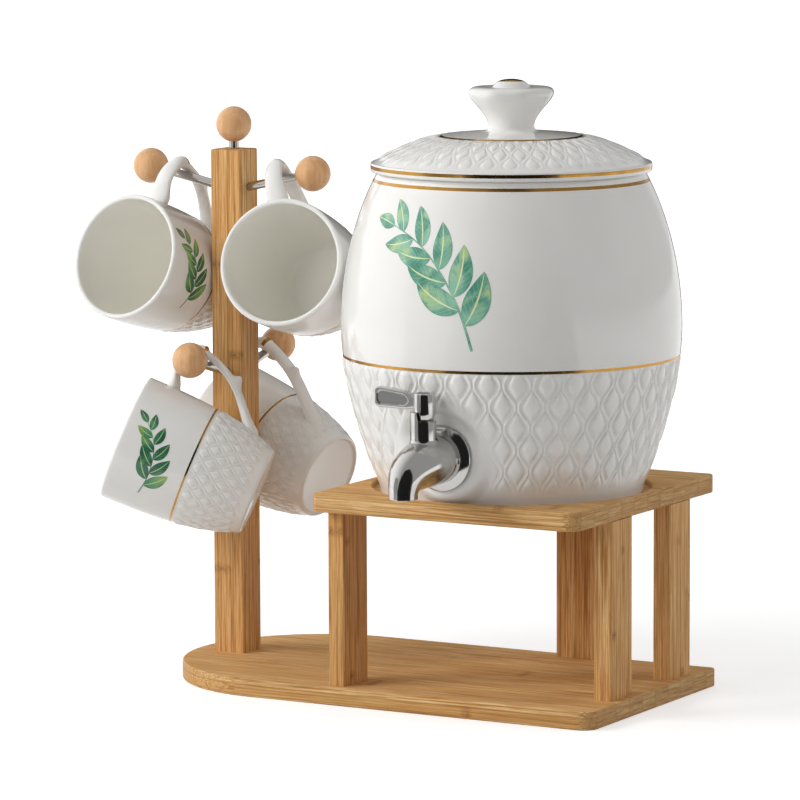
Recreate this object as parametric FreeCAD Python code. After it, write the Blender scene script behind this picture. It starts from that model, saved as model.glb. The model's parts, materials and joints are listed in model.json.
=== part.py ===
import FreeCAD, Part
import math
import os
from FreeCAD import Vector

# Porcelain drink dispenser with a turning tap, on a bamboo stand that carries a
# mug tree with four hanging mugs. Millimetres, +Z up, the tap facing -Y.
# The origin is the foot of the pot's axis, on the surface the stand rests on.

os.makedirs("parts", exist_ok=True)

# ---- stand: boards and legs --------------------------------------------------
BASE_LENGTH = 350.0
BASE_WIDTH = 185.0
BASE_THICKNESS = 12.5
BASE_RIGHT = 103.5            # pot axis to the base's right-hand edge
BASE_BACK_INSET = 8.5         # top board's back edge to the base's back edge
TOP_LENGTH = 195.0
TOP_WIDTH = 204.0
TOP_THICKNESS = 12.7
TOP_FRONT = 96.5              # pot axis to the top board's front edge
TOP_HEIGHT = 143.3            # upper face of the top board
RECESS_DEPTH = 4.0
RECESS_GAP = 5.5              # pot foot to the recess wall
FRONT_CORNER = 11.0           # plan radius of the right-hand front corners
OTHER_CORNER = 3.5            # plan radius of the remaining square corners
EDGE_ROUND = 1.2
LEG_THICKNESS = 12.5
LEG_WIDTH = 31.2
LEFT_LEG_INSET = 2.8          # top board's left edge to the left leg
LEFT_LEG_FRONT = 15.5         # top board's front edge to the left leg
RIGHT_LEG_FRONT = 50.2        # top board's front edge to the right front leg
RIGHT_LEG_BACK = 36.2         # top board's back edge to the right back leg
BACK_LEG_INSET = 1.2          # base's back edge to the back leg
BACK_LEG_OFFSET = 4.2         # pot axis to the middle of the back leg
DOWEL_DIAMETER = 8.0
DOWEL_SPACING = 15.0
DOWEL_IN_LEG = 12.0
DOWEL_IN_TOP = 6.5

# ---- screws under the base ---------------------------------------------------
SCREW_DIAMETER = 4.0
SCREW_HEAD_DIAMETER = 8.0
SCREW_HEAD_HEIGHT = 2.4
SCREW_SUNK = 0.6              # head below the underside
SCREW_HOLE_PLAY = 0.25        # radial play in the base
SCREW_LENGTH = 32.0
SCREW_SPACING = 17.0

# ---- mug tree ----------------------------------------------------------------
POST_SIDE = 23.5
POST_INSET = 28.6             # base's round end to the post's axis
POST_TOP = 359.0
POST_SCREW_SPACING = 11.0
PEG_DIAMETER = 6.0
PEG_IN_POST = 9.0
PEG_IN_BALL = 8.0
UPPER_PEG_HEIGHT = 333.3      # where the peg's axis leaves the post
UPPER_PEG_TILT = 12.0         # degrees above level
LEFT_PEG_REACH = 66.8         # post axis to the ball's centre
RIGHT_PEG_REACH = 62.2
LOWER_PEG_HEIGHT = 207.0
LOWER_PEG_TILT = 15.0
FRONT_PEG_REACH = 59.4
BACK_PEG_REACH = 56.9
BALL_DIAMETER = 24.2
STEM_DIAMETER = 7.0
STEM_SHOWN = 4.6
STEM_IN_POST = 16.0

# ---- pot ---------------------------------------------------------------------
POT_FOOT_RADIUS = 87.5
POT_BELLY_RADIUS = 113.1
POT_BELLY_HEIGHT = 110.5      # above the foot
POT_MOUTH_RADIUS = 88.5
POT_HEIGHT = 212.7
POT_WALL = 6.0
POT_FLOOR = 7.0
POT_FOOT_RISE = 8.0           # pull of the upright start at the foot
POT_BELLY_DROP = 47.5         # pull of the belly down towards the foot
POT_BELLY_LIFT = 45.0         # pull of the belly up towards the mouth
POT_MOUTH_FLARE = 11.3        # how far out of the mouth its pull lies
POT_MOUTH_DROP = 20.0         # and how far below it
FOOT_RING_WIDTH = 9.0
FOOT_RING_DEPTH = 2.5

# ---- lid ---------------------------------------------------------------------
LID_RADIUS = 93.0
LID_EDGE = 6.0                # height of the lid's edge
LID_EDGE_ROUND = 1.6
LID_WALL = 5.0
LID_RISE = 26.5               # pot rim to the foot of the knob
LID_RING_GAP = 1.6            # locating ring to the pot's mouth
LID_RING_WIDTH = 5.0
LID_RING_DEPTH = 9.0
KNOB_NECK_RADIUS = 15.2
KNOB_LIP_RADIUS = 27.9
KNOB_HEIGHT = 34.4            # foot of the knob to its top
KNOB_CAP_RADIUS = 12.5
KNOB_CAP_RISE = 5.3
LIP_DROP = 4.1                # knob cap's foot down to the lip's widest ring
LIP_PULL_UP = 3.0             # the pulls shape the lid's outline between its rings
LIP_PULL_IN = 7.0
FLARE_PULL_IN = 5.9
FLARE_PULL_DOWN = 8.3
NECK_PULL_UP = 7.5
NECK_ROUND = 3.0
CROWN_PULL_OUT = 28.0
CROWN_PULL_DOWN = 3.5
DOME_PULL_IN = 14.0
DOME_PULL_UP = 7.0

# ---- tap ---------------------------------------------------------------------
TAP_ABOVE_FOOT = 33.7         # pot foot to the tap's level axis
PAD_REACH = 95.5              # pot axis to the flat pad behind the flange
PAD_RADIUS = 24.0
PAD_SLOPE = 8.0               # depth and extra radius of the pad's sloping edge
SEAT_RADIUS = 18.5
PAD_WALL = 9.0
SHANK_DIAMETER = 15.6
SHANK_HOLE_PLAY = 0.4
SHANK_PAST_NUT = 3.0
NUT_ACROSS = 24.0
NUT_THICKNESS = 7.0
WASHER_THICKNESS = 1.5
INNER_WASHER_RADIUS = 15.0
OUTER_WASHER_RADIUS = 19.0
FLANGE_RADIUS = 22.0
FLANGE_FACE_RADIUS = 16.6
FLANGE_RIM = 1.6
FLANGE_THICKNESS = 4.6
TAP_REACH = 147.0             # pot axis to the middle of the outlet
TAP_DROP = 20.7               # level axis to the outlet's lip
SPOUT_STRAIGHT = 3.0
OUTLET_RADIUS = 9.4
OUTLET_WALL = 2.2
BEND_PULL = 0.7               # fullness of the bend, as a share of its sides
BODY_TAPER = 1.4              # power of the body's taper along the bend
BODY_STATIONS = 6             # steps along the bend
BORE_START = 0.167            # share of the bend where the bore leaves the plug
STEM_REACH = 120.7            # pot axis to the tap's upright stem
COLLAR_RADIUS = 8.5
COLLAR_ABOVE = 27.1           # level axis to the collar's top
STOP_HEIGHT = 5.6
STOP_WALL = 1.7
STOP_START = 200.0            # degrees round the stem, from +X
STOP_END = 278.0
STOP_CLEARANCE_DEGREES = 2.0  # between the lever's skirt and the stop
PLUG_RADIUS = 6.0
PLUG_DEPTH = 8.5              # level axis to the plug's lower end
PLUG_PLAY = 0.05
WATERWAY_RADIUS = 4.0
SEAL_RADIUS = 7.2
SEAL_HEIGHT = 1.8
SEAL_ABOVE = 17.0             # level axis to the seal
SPINDLE_RADIUS = 3.2
SPINDLE_RISE = 12.0           # of the spindle into the lever's hub

# ---- tap lever ---------------------------------------------------------------
HUB_RADIUS = 6.1
HUB_HEIGHT = 17.5
HUB_GAP = 0.3
SKIRT_RADIUS = 8.1            # the thicker side of the hub, clear of the stop
LEVER_TURN = 90.0             # a quarter turn from shut to open
LEVER_LENGTH = 35.2           # stem axis to the paddle's end
LEVER_NECK_HEIGHT = 10.4
LEVER_END_HEIGHT = 13.6
LEVER_NECK_DROP = 0.8         # hub's top to the paddle's upper edge at the hub
LEVER_LIFT = 3.4              # hub's top to the paddle's upper edge at its end
LEVER_THICKNESS = 5.6
LEVER_END_ROUND = 4.5
LEVER_PANEL_DEPTH = 0.7
LEVER_PANEL_MARGIN = 2.0
LEVER_PANEL_START = 13.0      # stem axis to the sunk panel
CAP_SCREW_RADIUS = 4.0
CAP_SCREW_HEIGHT = 1.6
CAP_SCREW_SHANK = 1.5
CAP_SCREW_LENGTH = 8.0
SLOT_WIDTH = 1.0
SLOT_DEPTH = 0.8

# ---- mugs --------------------------------------------------------------------
MUG_HEIGHT = 97.5
MUG_RIM_RADIUS = 43.5
MUG_FOOT_RADIUS = 30.5
MUG_WALL = 3.4
MUG_FLOOR = 3.6
MUG_FOOT_FLARE = 0.31         # radius gained per mm of height at the foot
MUG_FOOT_PULL = 24.7
MUG_RIM_PULL = 59.5
MUG_RING_WIDTH = 3.2
MUG_RING_DEPTH = 1.6
STRAP_WIDTH = 11.0
STRAP_THICKNESS = 5.2
SPUR_RADIUS = 3.1
SPUR_REACH = 63.4             # mug axis to the thumb spur
SPUR_BELOW = 54.0             # rim to the thumb spur
CREST_REACH = 72.0            # mug axis to the crest of the handle's centre line
CREST_BELOW = 31.0            # rim to the part of the crest that hooks on the peg
CREST_LIP_REACH = 74.7        # mug axis to the raised lip across the crest
CREST_LIP_BELOW = 27.5
CREST_LIP_RADIUS = 2.6
CREST_LIP_LENGTH = 5.4        # between the centres of its round ends
# The handle's centre line: distance from the mug's axis, distance below its rim.
STRAP_LINE = [
    (41.6, 18.2),             # upper root, in the wall
    (65.0, 15.8),             # shoulder
    (CREST_REACH, 23.0),      # crest
    (70.8, 36.0),
    (64.3, 49.5),             # under the spur
    (54.3, 61.0),
    (41.8, 71.6),
    (31.6, 80.5),             # lower root, in the wall
]
HANG_GAP = 0.35               # least gap from a square handle to the peg beneath it
# How each mug hangs. Reach is from the post's axis to the handle, along the ground. Heading,
# in degrees, turns its mouth from -Y towards -X, and lean swings its body away from the
# post. Slip moves the hook down from the crest, and play widens its gap to the peg.
mug_poses = {
    "upper_left": {"reach": 41.0, "heading": 7.3, "lean": 11.0, "slip": 2.0, "play": 0.0},
    "upper_right": {"reach": 39.0, "heading": -9.0, "lean": 15.5, "slip": 6.0, "play": 0.15},
    "lower_front": {"reach": 40.4, "heading": 66.0, "lean": 13.5, "slip": 1.0, "play": 0.6},
    "lower_back": {"reach": 40.0, "heading": 95.6, "lean": 12.5, "slip": -3.0, "play": 0.0},
}


def box(x, y, z, dx, dy, dz):
    return Part.makeBox(dx, dy, dz, Vector(x, y, z))


def rod(radius, start, end):
    """A straight round bar between two points."""
    return Part.makeCylinder(radius, (end - start).Length, start, end - start)


def ball(radius, centre):
    return Part.makeSphere(radius, centre)


def prism(corners, along):
    """A straight bar whose end face has the given corners."""
    return Part.Face(Part.makePolygon(corners + corners[:1])).extrude(along)


def edge(points):
    """A line through two points, an arc through three, or a Bezier curve of four."""
    points = [Vector(radius, 0, height) for radius, height in points]
    if len(points) == 2:
        return Part.LineSegment(*points).toShape()
    if len(points) == 3:
        return Part.Arc(*points).toShape()
    curve = Part.BezierCurve()
    curve.setPoles(points)
    return curve.toShape()


def turned(*outline):
    """A solid of revolution about Z, from a closed outline of (radius, height) edges."""
    face = Part.Face(Part.Wire([edge(points) for points in outline]))
    return face.revolve(Vector(0, 0, 0), Vector(0, 0, 1), 360)


def rounded(start, corner, end):
    """Three points of the quarter circle that rounds off a square corner."""
    centre = (start[0] + end[0] - corner[0], start[1] + end[1] - corner[1])
    middle = [c + (k - c) * math.sqrt(0.5) for c, k in zip(centre, corner)]
    return [start, middle, end]


def crowned(radius, foot, top):
    """Three points of the arc that rises to a level end on the axis."""
    arc_radius = (radius ** 2 + (top - foot) ** 2) / (2 * (top - foot))
    half = math.asin(radius / arc_radius) / 2
    middle = (arc_radius * math.sin(half), top - arc_radius * (1 - math.cos(half)))
    return [(radius, foot), middle, (0, top)]


def whole(shape):
    """The single solid that a fuse or a cut leaves."""
    solid, = shape.Solids
    return solid


def moved(shape, x, y, z):
    shape = shape.copy()
    shape.translate(Vector(x, y, z))
    return shape


# ---- places worked out from the sizes ----------------------------------------
top_left = -TOP_LENGTH / 2
top_right = TOP_LENGTH / 2
top_back = TOP_WIDTH - TOP_FRONT
base_left = BASE_RIGHT - BASE_LENGTH
base_back = top_back - BASE_BACK_INSET
base_front = base_back - BASE_WIDTH
top_underside = TOP_HEIGHT - TOP_THICKNESS
seat_height = TOP_HEIGHT - RECESS_DEPTH
rim_height = seat_height + POT_HEIGHT
tap_height = seat_height + TAP_ABOVE_FOOT
post_x = base_left + POST_INSET
post_y = base_back - BASE_WIDTH / 2
dowel_radius = DOWEL_DIAMETER / 2
screw_radius = SCREW_DIAMETER / 2
screw_head_radius = SCREW_HEAD_DIAMETER / 2
peg_radius = PEG_DIAMETER / 2
ball_radius = BALL_DIAMETER / 2
parts = {}


# ---- fasteners ---------------------------------------------------------------
def pair(x, y, along_x, spacing):
    """Two points, spaced evenly about (x, y) along X or along Y."""
    half = spacing / 2
    if along_x:
        return [(x - half, y), (x + half, y)]
    return [(x, y - half), (x, y + half)]


def countersink(radius):
    """The cone from a screw's head to its shank, widened to the given head radius."""
    return Part.makeCone(radius, screw_radius + radius - screw_head_radius, SCREW_HEAD_HEIGHT)


def screw(x, y):
    """A countersunk wood screw driven up from the underside of the base."""
    head = moved(countersink(screw_head_radius), x, y, SCREW_SUNK)
    shank = Part.makeCylinder(screw_radius, SCREW_LENGTH, Vector(x, y, SCREW_SUNK))
    return head.fuse(shank).removeSplitter()


def screw_hole(x, y):
    """The countersunk hole in the base, wider than the screw by the play."""
    wide = screw_head_radius + SCREW_HOLE_PLAY
    mouth = Part.makeCylinder(wide, SCREW_SUNK, Vector(x, y, 0))
    sink = moved(countersink(wide), x, y, SCREW_SUNK)
    through = Part.makeCylinder(screw_radius + SCREW_HOLE_PLAY, BASE_THICKNESS, Vector(x, y, 0))
    return mouth.fuse([sink, through])


def screw_pilot(x, y):
    """The hole that the screw's thread fills in a leg or the post."""
    return Part.makeCylinder(screw_radius, SCREW_LENGTH, Vector(x, y, SCREW_SUNK))


def dowel(x, y):
    return rod(dowel_radius, Vector(x, y, top_underside - DOWEL_IN_LEG),
               Vector(x, y, top_underside + DOWEL_IN_TOP))


# ---- legs --------------------------------------------------------------------
# Each leg is a slab: its corner, and whether its wide side runs along X.
right_leg_x = top_right - LEG_THICKNESS
legs = {
    "front_left_leg": (top_left + LEFT_LEG_INSET, LEFT_LEG_FRONT - TOP_FRONT, False),
    "front_right_leg": (right_leg_x, RIGHT_LEG_FRONT - TOP_FRONT, False),
    "back_right_leg": (right_leg_x, top_back - RIGHT_LEG_BACK - LEG_WIDTH, False),
    "back_leg": (BACK_LEG_OFFSET - LEG_WIDTH / 2,
                 base_back - BACK_LEG_INSET - LEG_THICKNESS, True),
}
leg_screw_places = []
dowel_places = []
for name, (x, y, along_x) in legs.items():
    size_x, size_y = (LEG_WIDTH, LEG_THICKNESS) if along_x else (LEG_THICKNESS, LEG_WIDTH)
    middle = (x + size_x / 2, y + size_y / 2)
    screws_here = pair(*middle, along_x, SCREW_SPACING)
    dowels_here = pair(*middle, along_x, DOWEL_SPACING)
    leg = box(x, y, BASE_THICKNESS, size_x, size_y, top_underside - BASE_THICKNESS)
    upright_edges = [e for e in leg.Edges if e.BoundBox.ZLength > BASE_THICKNESS]
    leg = leg.makeFillet(EDGE_ROUND, upright_edges)
    pilots = [screw_pilot(*place) for place in screws_here]
    parts[name] = leg.cut(pilots + [dowel(*place) for place in dowels_here])
    leg_screw_places += screws_here
    dowel_places += dowels_here
parts["leg_screws"] = Part.makeCompound([screw(*place) for place in leg_screw_places])
parts["top_dowels"] = Part.makeCompound([dowel(*place) for place in dowel_places])


# ---- boards ------------------------------------------------------------------
def board(corners, height, thickness):
    """A board from its plan corners (x, y, radius), with eased upper and lower edges."""
    bends = []
    for i, (x, y, radius) in enumerate(corners):
        here = Vector(x, y, height)
        before = Vector(*corners[i - 1][:2], height)
        after = Vector(*corners[(i + 1) % len(corners)][:2], height)
        start = here + (before - here).normalize() * radius
        end = here + (after - here).normalize() * radius
        centre = start + end - here
        bends.append((start, centre + (here - centre).normalize() * radius, end))
    outline = []
    for i, (start, middle, end) in enumerate(bends):
        outline.append(Part.Arc(start, middle, end).toShape())
        next_start = bends[(i + 1) % len(bends)][0]
        if not end.isEqual(next_start, EDGE_ROUND):
            outline.append(Part.LineSegment(end, next_start).toShape())
    slab = Part.Face(Part.Wire(outline)).extrude(Vector(0, 0, thickness))
    level_edges = [e for e in slab.Edges if e.BoundBox.ZLength < thickness / 2]
    return slab.makeFillet(EDGE_ROUND, level_edges)


base_end = BASE_WIDTH / 2
base = board([(base_left, base_front, base_end), (BASE_RIGHT, base_front, FRONT_CORNER),
              (BASE_RIGHT, base_back, OTHER_CORNER), (base_left, base_back, base_end)],
             0, BASE_THICKNESS)
post_screw_places = pair(post_x, post_y, True, POST_SCREW_SPACING)
parts["base_board"] = base.cut([screw_hole(*place) for place in leg_screw_places + post_screw_places])

top = board([(top_left, -TOP_FRONT, OTHER_CORNER), (top_right, -TOP_FRONT, FRONT_CORNER),
             (top_right, top_back, OTHER_CORNER), (top_left, top_back, OTHER_CORNER)],
            top_underside, TOP_THICKNESS)
recess_radius = POT_FOOT_RADIUS + RECESS_GAP
round_foot = TOP_HEIGHT - EDGE_ROUND
recess_wall_top = (recess_radius, round_foot)
recess_mouth = (recess_radius + EDGE_ROUND, TOP_HEIGHT)
recess = turned(
    [(0, seat_height), (recess_radius, seat_height)],
    [(recess_radius, seat_height), recess_wall_top],
    rounded(recess_wall_top, (recess_radius, TOP_HEIGHT), recess_mouth),
    [recess_mouth, (0, TOP_HEIGHT)],
    [(0, TOP_HEIGHT), (0, seat_height)],
)
parts["stand_top"] = top.cut([recess] + [dowel(*place) for place in dowel_places])


# ---- mug tree ----------------------------------------------------------------
# Each arm is a steel peg, tilted up and out of one side of the post, with a ball.
LEFT, RIGHT = Vector(-1, 0, 0), Vector(1, 0, 0)
FRONT, BACK = Vector(0, -1, 0), Vector(0, 1, 0)
UP = Vector(0, 0, 1)
arms = {
    "upper_left": (LEFT, UPPER_PEG_HEIGHT, math.radians(UPPER_PEG_TILT), LEFT_PEG_REACH),
    "upper_right": (RIGHT, UPPER_PEG_HEIGHT, math.radians(UPPER_PEG_TILT), RIGHT_PEG_REACH),
    "lower_front": (FRONT, LOWER_PEG_HEIGHT, math.radians(LOWER_PEG_TILT), FRONT_PEG_REACH),
    "lower_back": (BACK, LOWER_PEG_HEIGHT, math.radians(LOWER_PEG_TILT), BACK_PEG_REACH),
}


def on_peg(arm, reach):
    """The point of a peg's axis that lies a given reach from the post's axis."""
    outward, height, tilt, _ = arms[arm]
    past_face = reach - POST_SIDE / 2
    return Vector(post_x, post_y, height + past_face * math.tan(tilt)) + outward * reach


def along_peg(arm):
    outward, _, tilt, _ = arms[arm]
    return outward * math.cos(tilt) + UP * math.sin(tilt)


post = box(post_x - POST_SIDE / 2, post_y - POST_SIDE / 2, BASE_THICKNESS,
           POST_SIDE, POST_SIDE, POST_TOP - BASE_THICKNESS)
eased_edges = [e for e in post.Edges if e.BoundBox.ZMax > POST_SIDE]
post = post.makeFillet(EDGE_ROUND, eased_edges)
post_holes = [screw_pilot(*place) for place in post_screw_places]
for arm, (_, _, _, ball_reach) in arms.items():
    centre = on_peg(arm, ball_reach)
    inner_end = on_peg(arm, POST_SIDE / 2) - along_peg(arm) * PEG_IN_POST
    outer_end = centre - along_peg(arm) * (ball_radius - PEG_IN_BALL)
    peg = rod(peg_radius, inner_end, outer_end)
    post_holes.append(peg)
    parts[arm + "_peg"] = peg
    parts[arm + "_ball"] = ball(ball_radius, centre).cut(peg)
stem_foot = Vector(post_x, post_y, POST_TOP - STEM_IN_POST)
stem_end = Vector(post_x, post_y, POST_TOP + STEM_SHOWN + PEG_IN_BALL)
stem = rod(STEM_DIAMETER / 2, stem_foot, stem_end)
post_holes.append(stem)
top_ball = ball(ball_radius, Vector(post_x, post_y, POST_TOP + STEM_SHOWN + ball_radius))
parts["top_stem"] = stem
parts["top_ball"] = top_ball.cut(stem)
parts["mug_post"] = post.cut(post_holes)
parts["post_screws"] = Part.makeCompound([screw(*place) for place in post_screw_places])


# ---- pot ---------------------------------------------------------------------
def level_rod(radius, reach, end_reach):
    """A bar along Y at the tap's height, between two distances in front of the pot's axis."""
    return rod(radius, Vector(0, -reach, tap_height), Vector(0, -end_reach, tap_height))


def level_cone(radius, reach, end_radius, end_reach):
    """A cone along Y at the tap's height, widening or narrowing away from the pot."""
    start = Vector(0, -reach, tap_height)
    return Part.makeCone(radius, end_radius, end_reach - reach, start, FRONT)


def pot_outline(inset, floor):
    """The pot's side from foot to mouth, moved inwards, as its two curves."""
    foot = POT_FOOT_RADIUS - inset
    belly = POT_BELLY_RADIUS - inset
    mouth = POT_MOUTH_RADIUS - inset
    belly_height = seat_height + POT_BELLY_HEIGHT
    lower = [(foot, floor), (foot, floor + POT_FOOT_RISE),
             (belly, belly_height - POT_BELLY_DROP), (belly, belly_height)]
    upper = [(belly, belly_height), (belly, belly_height + POT_BELLY_LIFT),
             (mouth + POT_MOUTH_FLARE, rim_height - POT_MOUTH_DROP), (mouth, rim_height)]
    return lower, upper


def pot_filled(inset, floor):
    """The solid within the pot's side, from a floor height up to the rim."""
    lower, upper = pot_outline(inset, floor)
    return turned([(0, floor), lower[0]], lower, upper,
                  [upper[-1], (0, rim_height)], [(0, rim_height), (0, floor)])


seat_reach = PAD_REACH - PAD_WALL
pot_outside = pot_filled(0, seat_height)
pot_inside = pot_filled(POT_WALL, seat_height + POT_FLOOR)
foot_hollow = Part.makeCylinder(POT_FOOT_RADIUS - FOOT_RING_WIDTH, FOOT_RING_DEPTH,
                                Vector(0, 0, seat_height))
pad = level_cone(PAD_RADIUS + PAD_SLOPE, PAD_REACH - PAD_SLOPE, PAD_RADIUS, PAD_REACH)
clear_of_pad = level_cone(PAD_RADIUS, PAD_REACH, PAD_RADIUS + 2 * PAD_SLOPE, PAD_REACH + 2 * PAD_SLOPE)
inner_pad = level_rod(SEAT_RADIUS, seat_reach, PAD_REACH)
seat_clearance = level_rod(SEAT_RADIUS, 0, seat_reach).common(pot_outside)
shank_hole = level_rod(SHANK_DIAMETER / 2 + SHANK_HOLE_PLAY, 0, FLANGE_RADIUS + PAD_REACH)
pot = pot_outside.fuse(pad).cut([clear_of_pad, pot_inside]).fuse(inner_pad)
parts["pot_body"] = pot.cut([foot_hollow, shank_hole, seat_clearance])

# ---- lid ---------------------------------------------------------------------
edge_top = rim_height + LID_EDGE
knob_foot = rim_height + LID_RISE
knob_top = knob_foot + KNOB_HEIGHT
cap_foot = knob_top - KNOB_CAP_RISE
lip_height = cap_foot - LIP_DROP
ring_outside = POT_MOUTH_RADIUS - POT_WALL - LID_RING_GAP
ring_inside = ring_outside - LID_RING_WIDTH
ring_bottom = rim_height - LID_RING_DEPTH
shoulder = LID_RADIUS - LID_EDGE_ROUND
dome_end = KNOB_NECK_RADIUS + NECK_ROUND
underside_edge = (ring_inside, edge_top - LID_WALL / 2)
edge_low = (LID_RADIUS, rim_height + LID_EDGE_ROUND)
edge_high = (LID_RADIUS, edge_top - LID_EDGE_ROUND)
neck_start = (KNOB_NECK_RADIUS, knob_foot + NECK_ROUND)
lip_tip = (KNOB_LIP_RADIUS, lip_height)
lip_end = (KNOB_LIP_RADIUS - LIP_PULL_IN, cap_foot)
parts["lid"] = turned(
    [(0, knob_foot - LID_WALL), underside_edge],
    [underside_edge, (ring_inside, ring_bottom)],
    [(ring_inside, ring_bottom), (ring_outside, ring_bottom)],
    [(ring_outside, ring_bottom), (ring_outside, rim_height)],
    [(ring_outside, rim_height), (shoulder, rim_height)],
    rounded((shoulder, rim_height), (LID_RADIUS, rim_height), edge_low),
    [edge_low, edge_high],
    rounded(edge_high, (LID_RADIUS, edge_top), (shoulder, edge_top)),
    [(shoulder, edge_top), (shoulder - DOME_PULL_IN, edge_top + DOME_PULL_UP),
     (dome_end + CROWN_PULL_OUT, knob_foot - CROWN_PULL_DOWN), (dome_end, knob_foot)],
    rounded((dome_end, knob_foot), (KNOB_NECK_RADIUS, knob_foot), neck_start),
    [neck_start, (KNOB_NECK_RADIUS, neck_start[1] + NECK_PULL_UP),
     (KNOB_LIP_RADIUS - FLARE_PULL_IN, lip_height - FLARE_PULL_DOWN), lip_tip],
    [lip_tip, (KNOB_LIP_RADIUS, lip_height + LIP_PULL_UP),
     (KNOB_LIP_RADIUS - LIP_PULL_IN / 2, cap_foot), lip_end],
    [lip_end, (KNOB_CAP_RADIUS, cap_foot)],
    crowned(KNOB_CAP_RADIUS, cap_foot, knob_top),
    [(0, knob_top), (0, knob_foot - LID_WALL)],
)

# ---- tap ---------------------------------------------------------------------
# The tap's centre line is level at the flange, then bends down to the outlet.
washer_face = PAD_REACH + WASHER_THICKNESS
rim_face = washer_face + FLANGE_RIM
flange_face = washer_face + FLANGE_THICKNESS
shank_radius = SHANK_DIAMETER / 2
nut_face = seat_reach - WASHER_THICKNESS
shank_end = nut_face - NUT_THICKNESS - SHANK_PAST_NUT
outlet_height = tap_height - TAP_DROP
bend_length = TAP_REACH - flange_face
bend_drop = TAP_DROP - SPOUT_STRAIGHT


centre_line = Part.BezierCurve()
centre_line.setPoles([
    Vector(0, -flange_face, tap_height),
    Vector(0, -flange_face - BEND_PULL * bend_length, tap_height),
    Vector(0, -TAP_REACH, tap_height - (1 - BEND_PULL) * bend_drop),
    Vector(0, -TAP_REACH, tap_height - bend_drop),
])


def body_radius(share):
    """The body's radius at a share of the bend, from the flange face to the outlet."""
    taper = math.cos(math.pi / 2 * share) ** BODY_TAPER
    return OUTLET_RADIUS + (FLANGE_FACE_RADIUS - OUTLET_RADIUS) * taper


def bore_radius(share):
    """The bore's radius at a share of the bend, growing towards the outlet."""
    return WATERWAY_RADIUS + (OUTLET_RADIUS - OUTLET_WALL - WATERWAY_RADIUS) * share


def along_bend(radius_at, first_share, past_lip):
    """A bar round the centre line from a share of the bend, then straight down to the lip."""
    rings = []
    for i in range(BODY_STATIONS + 1):
        share = first_share + (1 - first_share) * i / BODY_STATIONS
        direction = centre_line.tangent(share)[0]
        rings.append(Part.makeCircle(radius_at(share), centre_line.value(share), direction))
    lip = Vector(0, -TAP_REACH, outlet_height - past_lip)
    rings.append(Part.makeCircle(radius_at(1), lip, UP * -1))
    return Part.makeLoft([Part.Wire(circle) for circle in rings], True, False)


def upright(radius, bottom, top):
    """A bar on the axis of the tap's stem."""
    return Part.makeCylinder(radius, top - bottom, Vector(0, -STEM_REACH, bottom))


def sector(radius, bottom, height, start, end):
    """A wedge of a bar on the stem's axis, between two directions in degrees from +X."""
    axis = Vector(0, 0, 1)
    wedge = Part.makeCylinder(radius, height, Vector(0, 0, bottom), axis, end - start)
    wedge.rotate(Vector(0, 0, 0), axis, start)
    return moved(wedge, 0, -STEM_REACH, 0)


def hexagon(across, reach, end_reach):
    """A six-sided bar along Y at the tap's height."""
    corner = across / math.sqrt(3)
    corners = []
    for i in range(6):
        turn = math.radians(60 * i)
        corners.append(Vector(corner * math.cos(turn), -reach, tap_height + corner * math.sin(turn)))
    return prism(corners, FRONT * (end_reach - reach))


collar_top = tap_height + COLLAR_ABOVE
hub_bottom = collar_top + HUB_GAP
hub_top = hub_bottom + HUB_HEIGHT
spindle_top = hub_bottom + SPINDLE_RISE
plug_bottom = tap_height - PLUG_DEPTH
seal_bottom = tap_height + SEAL_ABOVE
stop_top = collar_top + STOP_HEIGHT
plug_hole = upright(PLUG_RADIUS + PLUG_PLAY, plug_bottom - PLUG_PLAY, stop_top)
seal_groove = upright(SEAL_RADIUS, seal_bottom, seal_bottom + SEAL_HEIGHT)
stop = sector(COLLAR_RADIUS, collar_top, STOP_HEIGHT, STOP_START, STOP_END)
stop = stop.cut(upright(COLLAR_RADIUS - STOP_WALL, collar_top, stop_top))
tap = along_bend(body_radius, 0, 0)
tap = tap.fuse([level_rod(shank_radius, shank_end, flange_face + shank_radius),
                upright(COLLAR_RADIUS, tap_height, collar_top)])
tap = tap.fuse(stop)
inlet = level_rod(WATERWAY_RADIUS, shank_end, STEM_REACH)
bore = along_bend(bore_radius, BORE_START, OUTLET_WALL)
parts["tap_body"] = tap.cut([plug_hole, seal_groove, inlet, bore])

through_hole = level_rod(shank_radius, 0, TAP_REACH)
flange = level_rod(FLANGE_RADIUS, washer_face, rim_face)
flange = flange.fuse(level_cone(FLANGE_RADIUS, rim_face, FLANGE_FACE_RADIUS, flange_face))
lock_nut = hexagon(NUT_ACROSS, nut_face - NUT_THICKNESS, nut_face)
parts["tap_flange"] = flange.cut(through_hole)
parts["outer_washer"] = level_rod(OUTER_WASHER_RADIUS, PAD_REACH, washer_face).cut(through_hole)
parts["inner_washer"] = level_rod(INNER_WASHER_RADIUS, nut_face, seat_reach).cut(through_hole)
parts["lock_nut"] = lock_nut.cut(through_hole)

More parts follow.
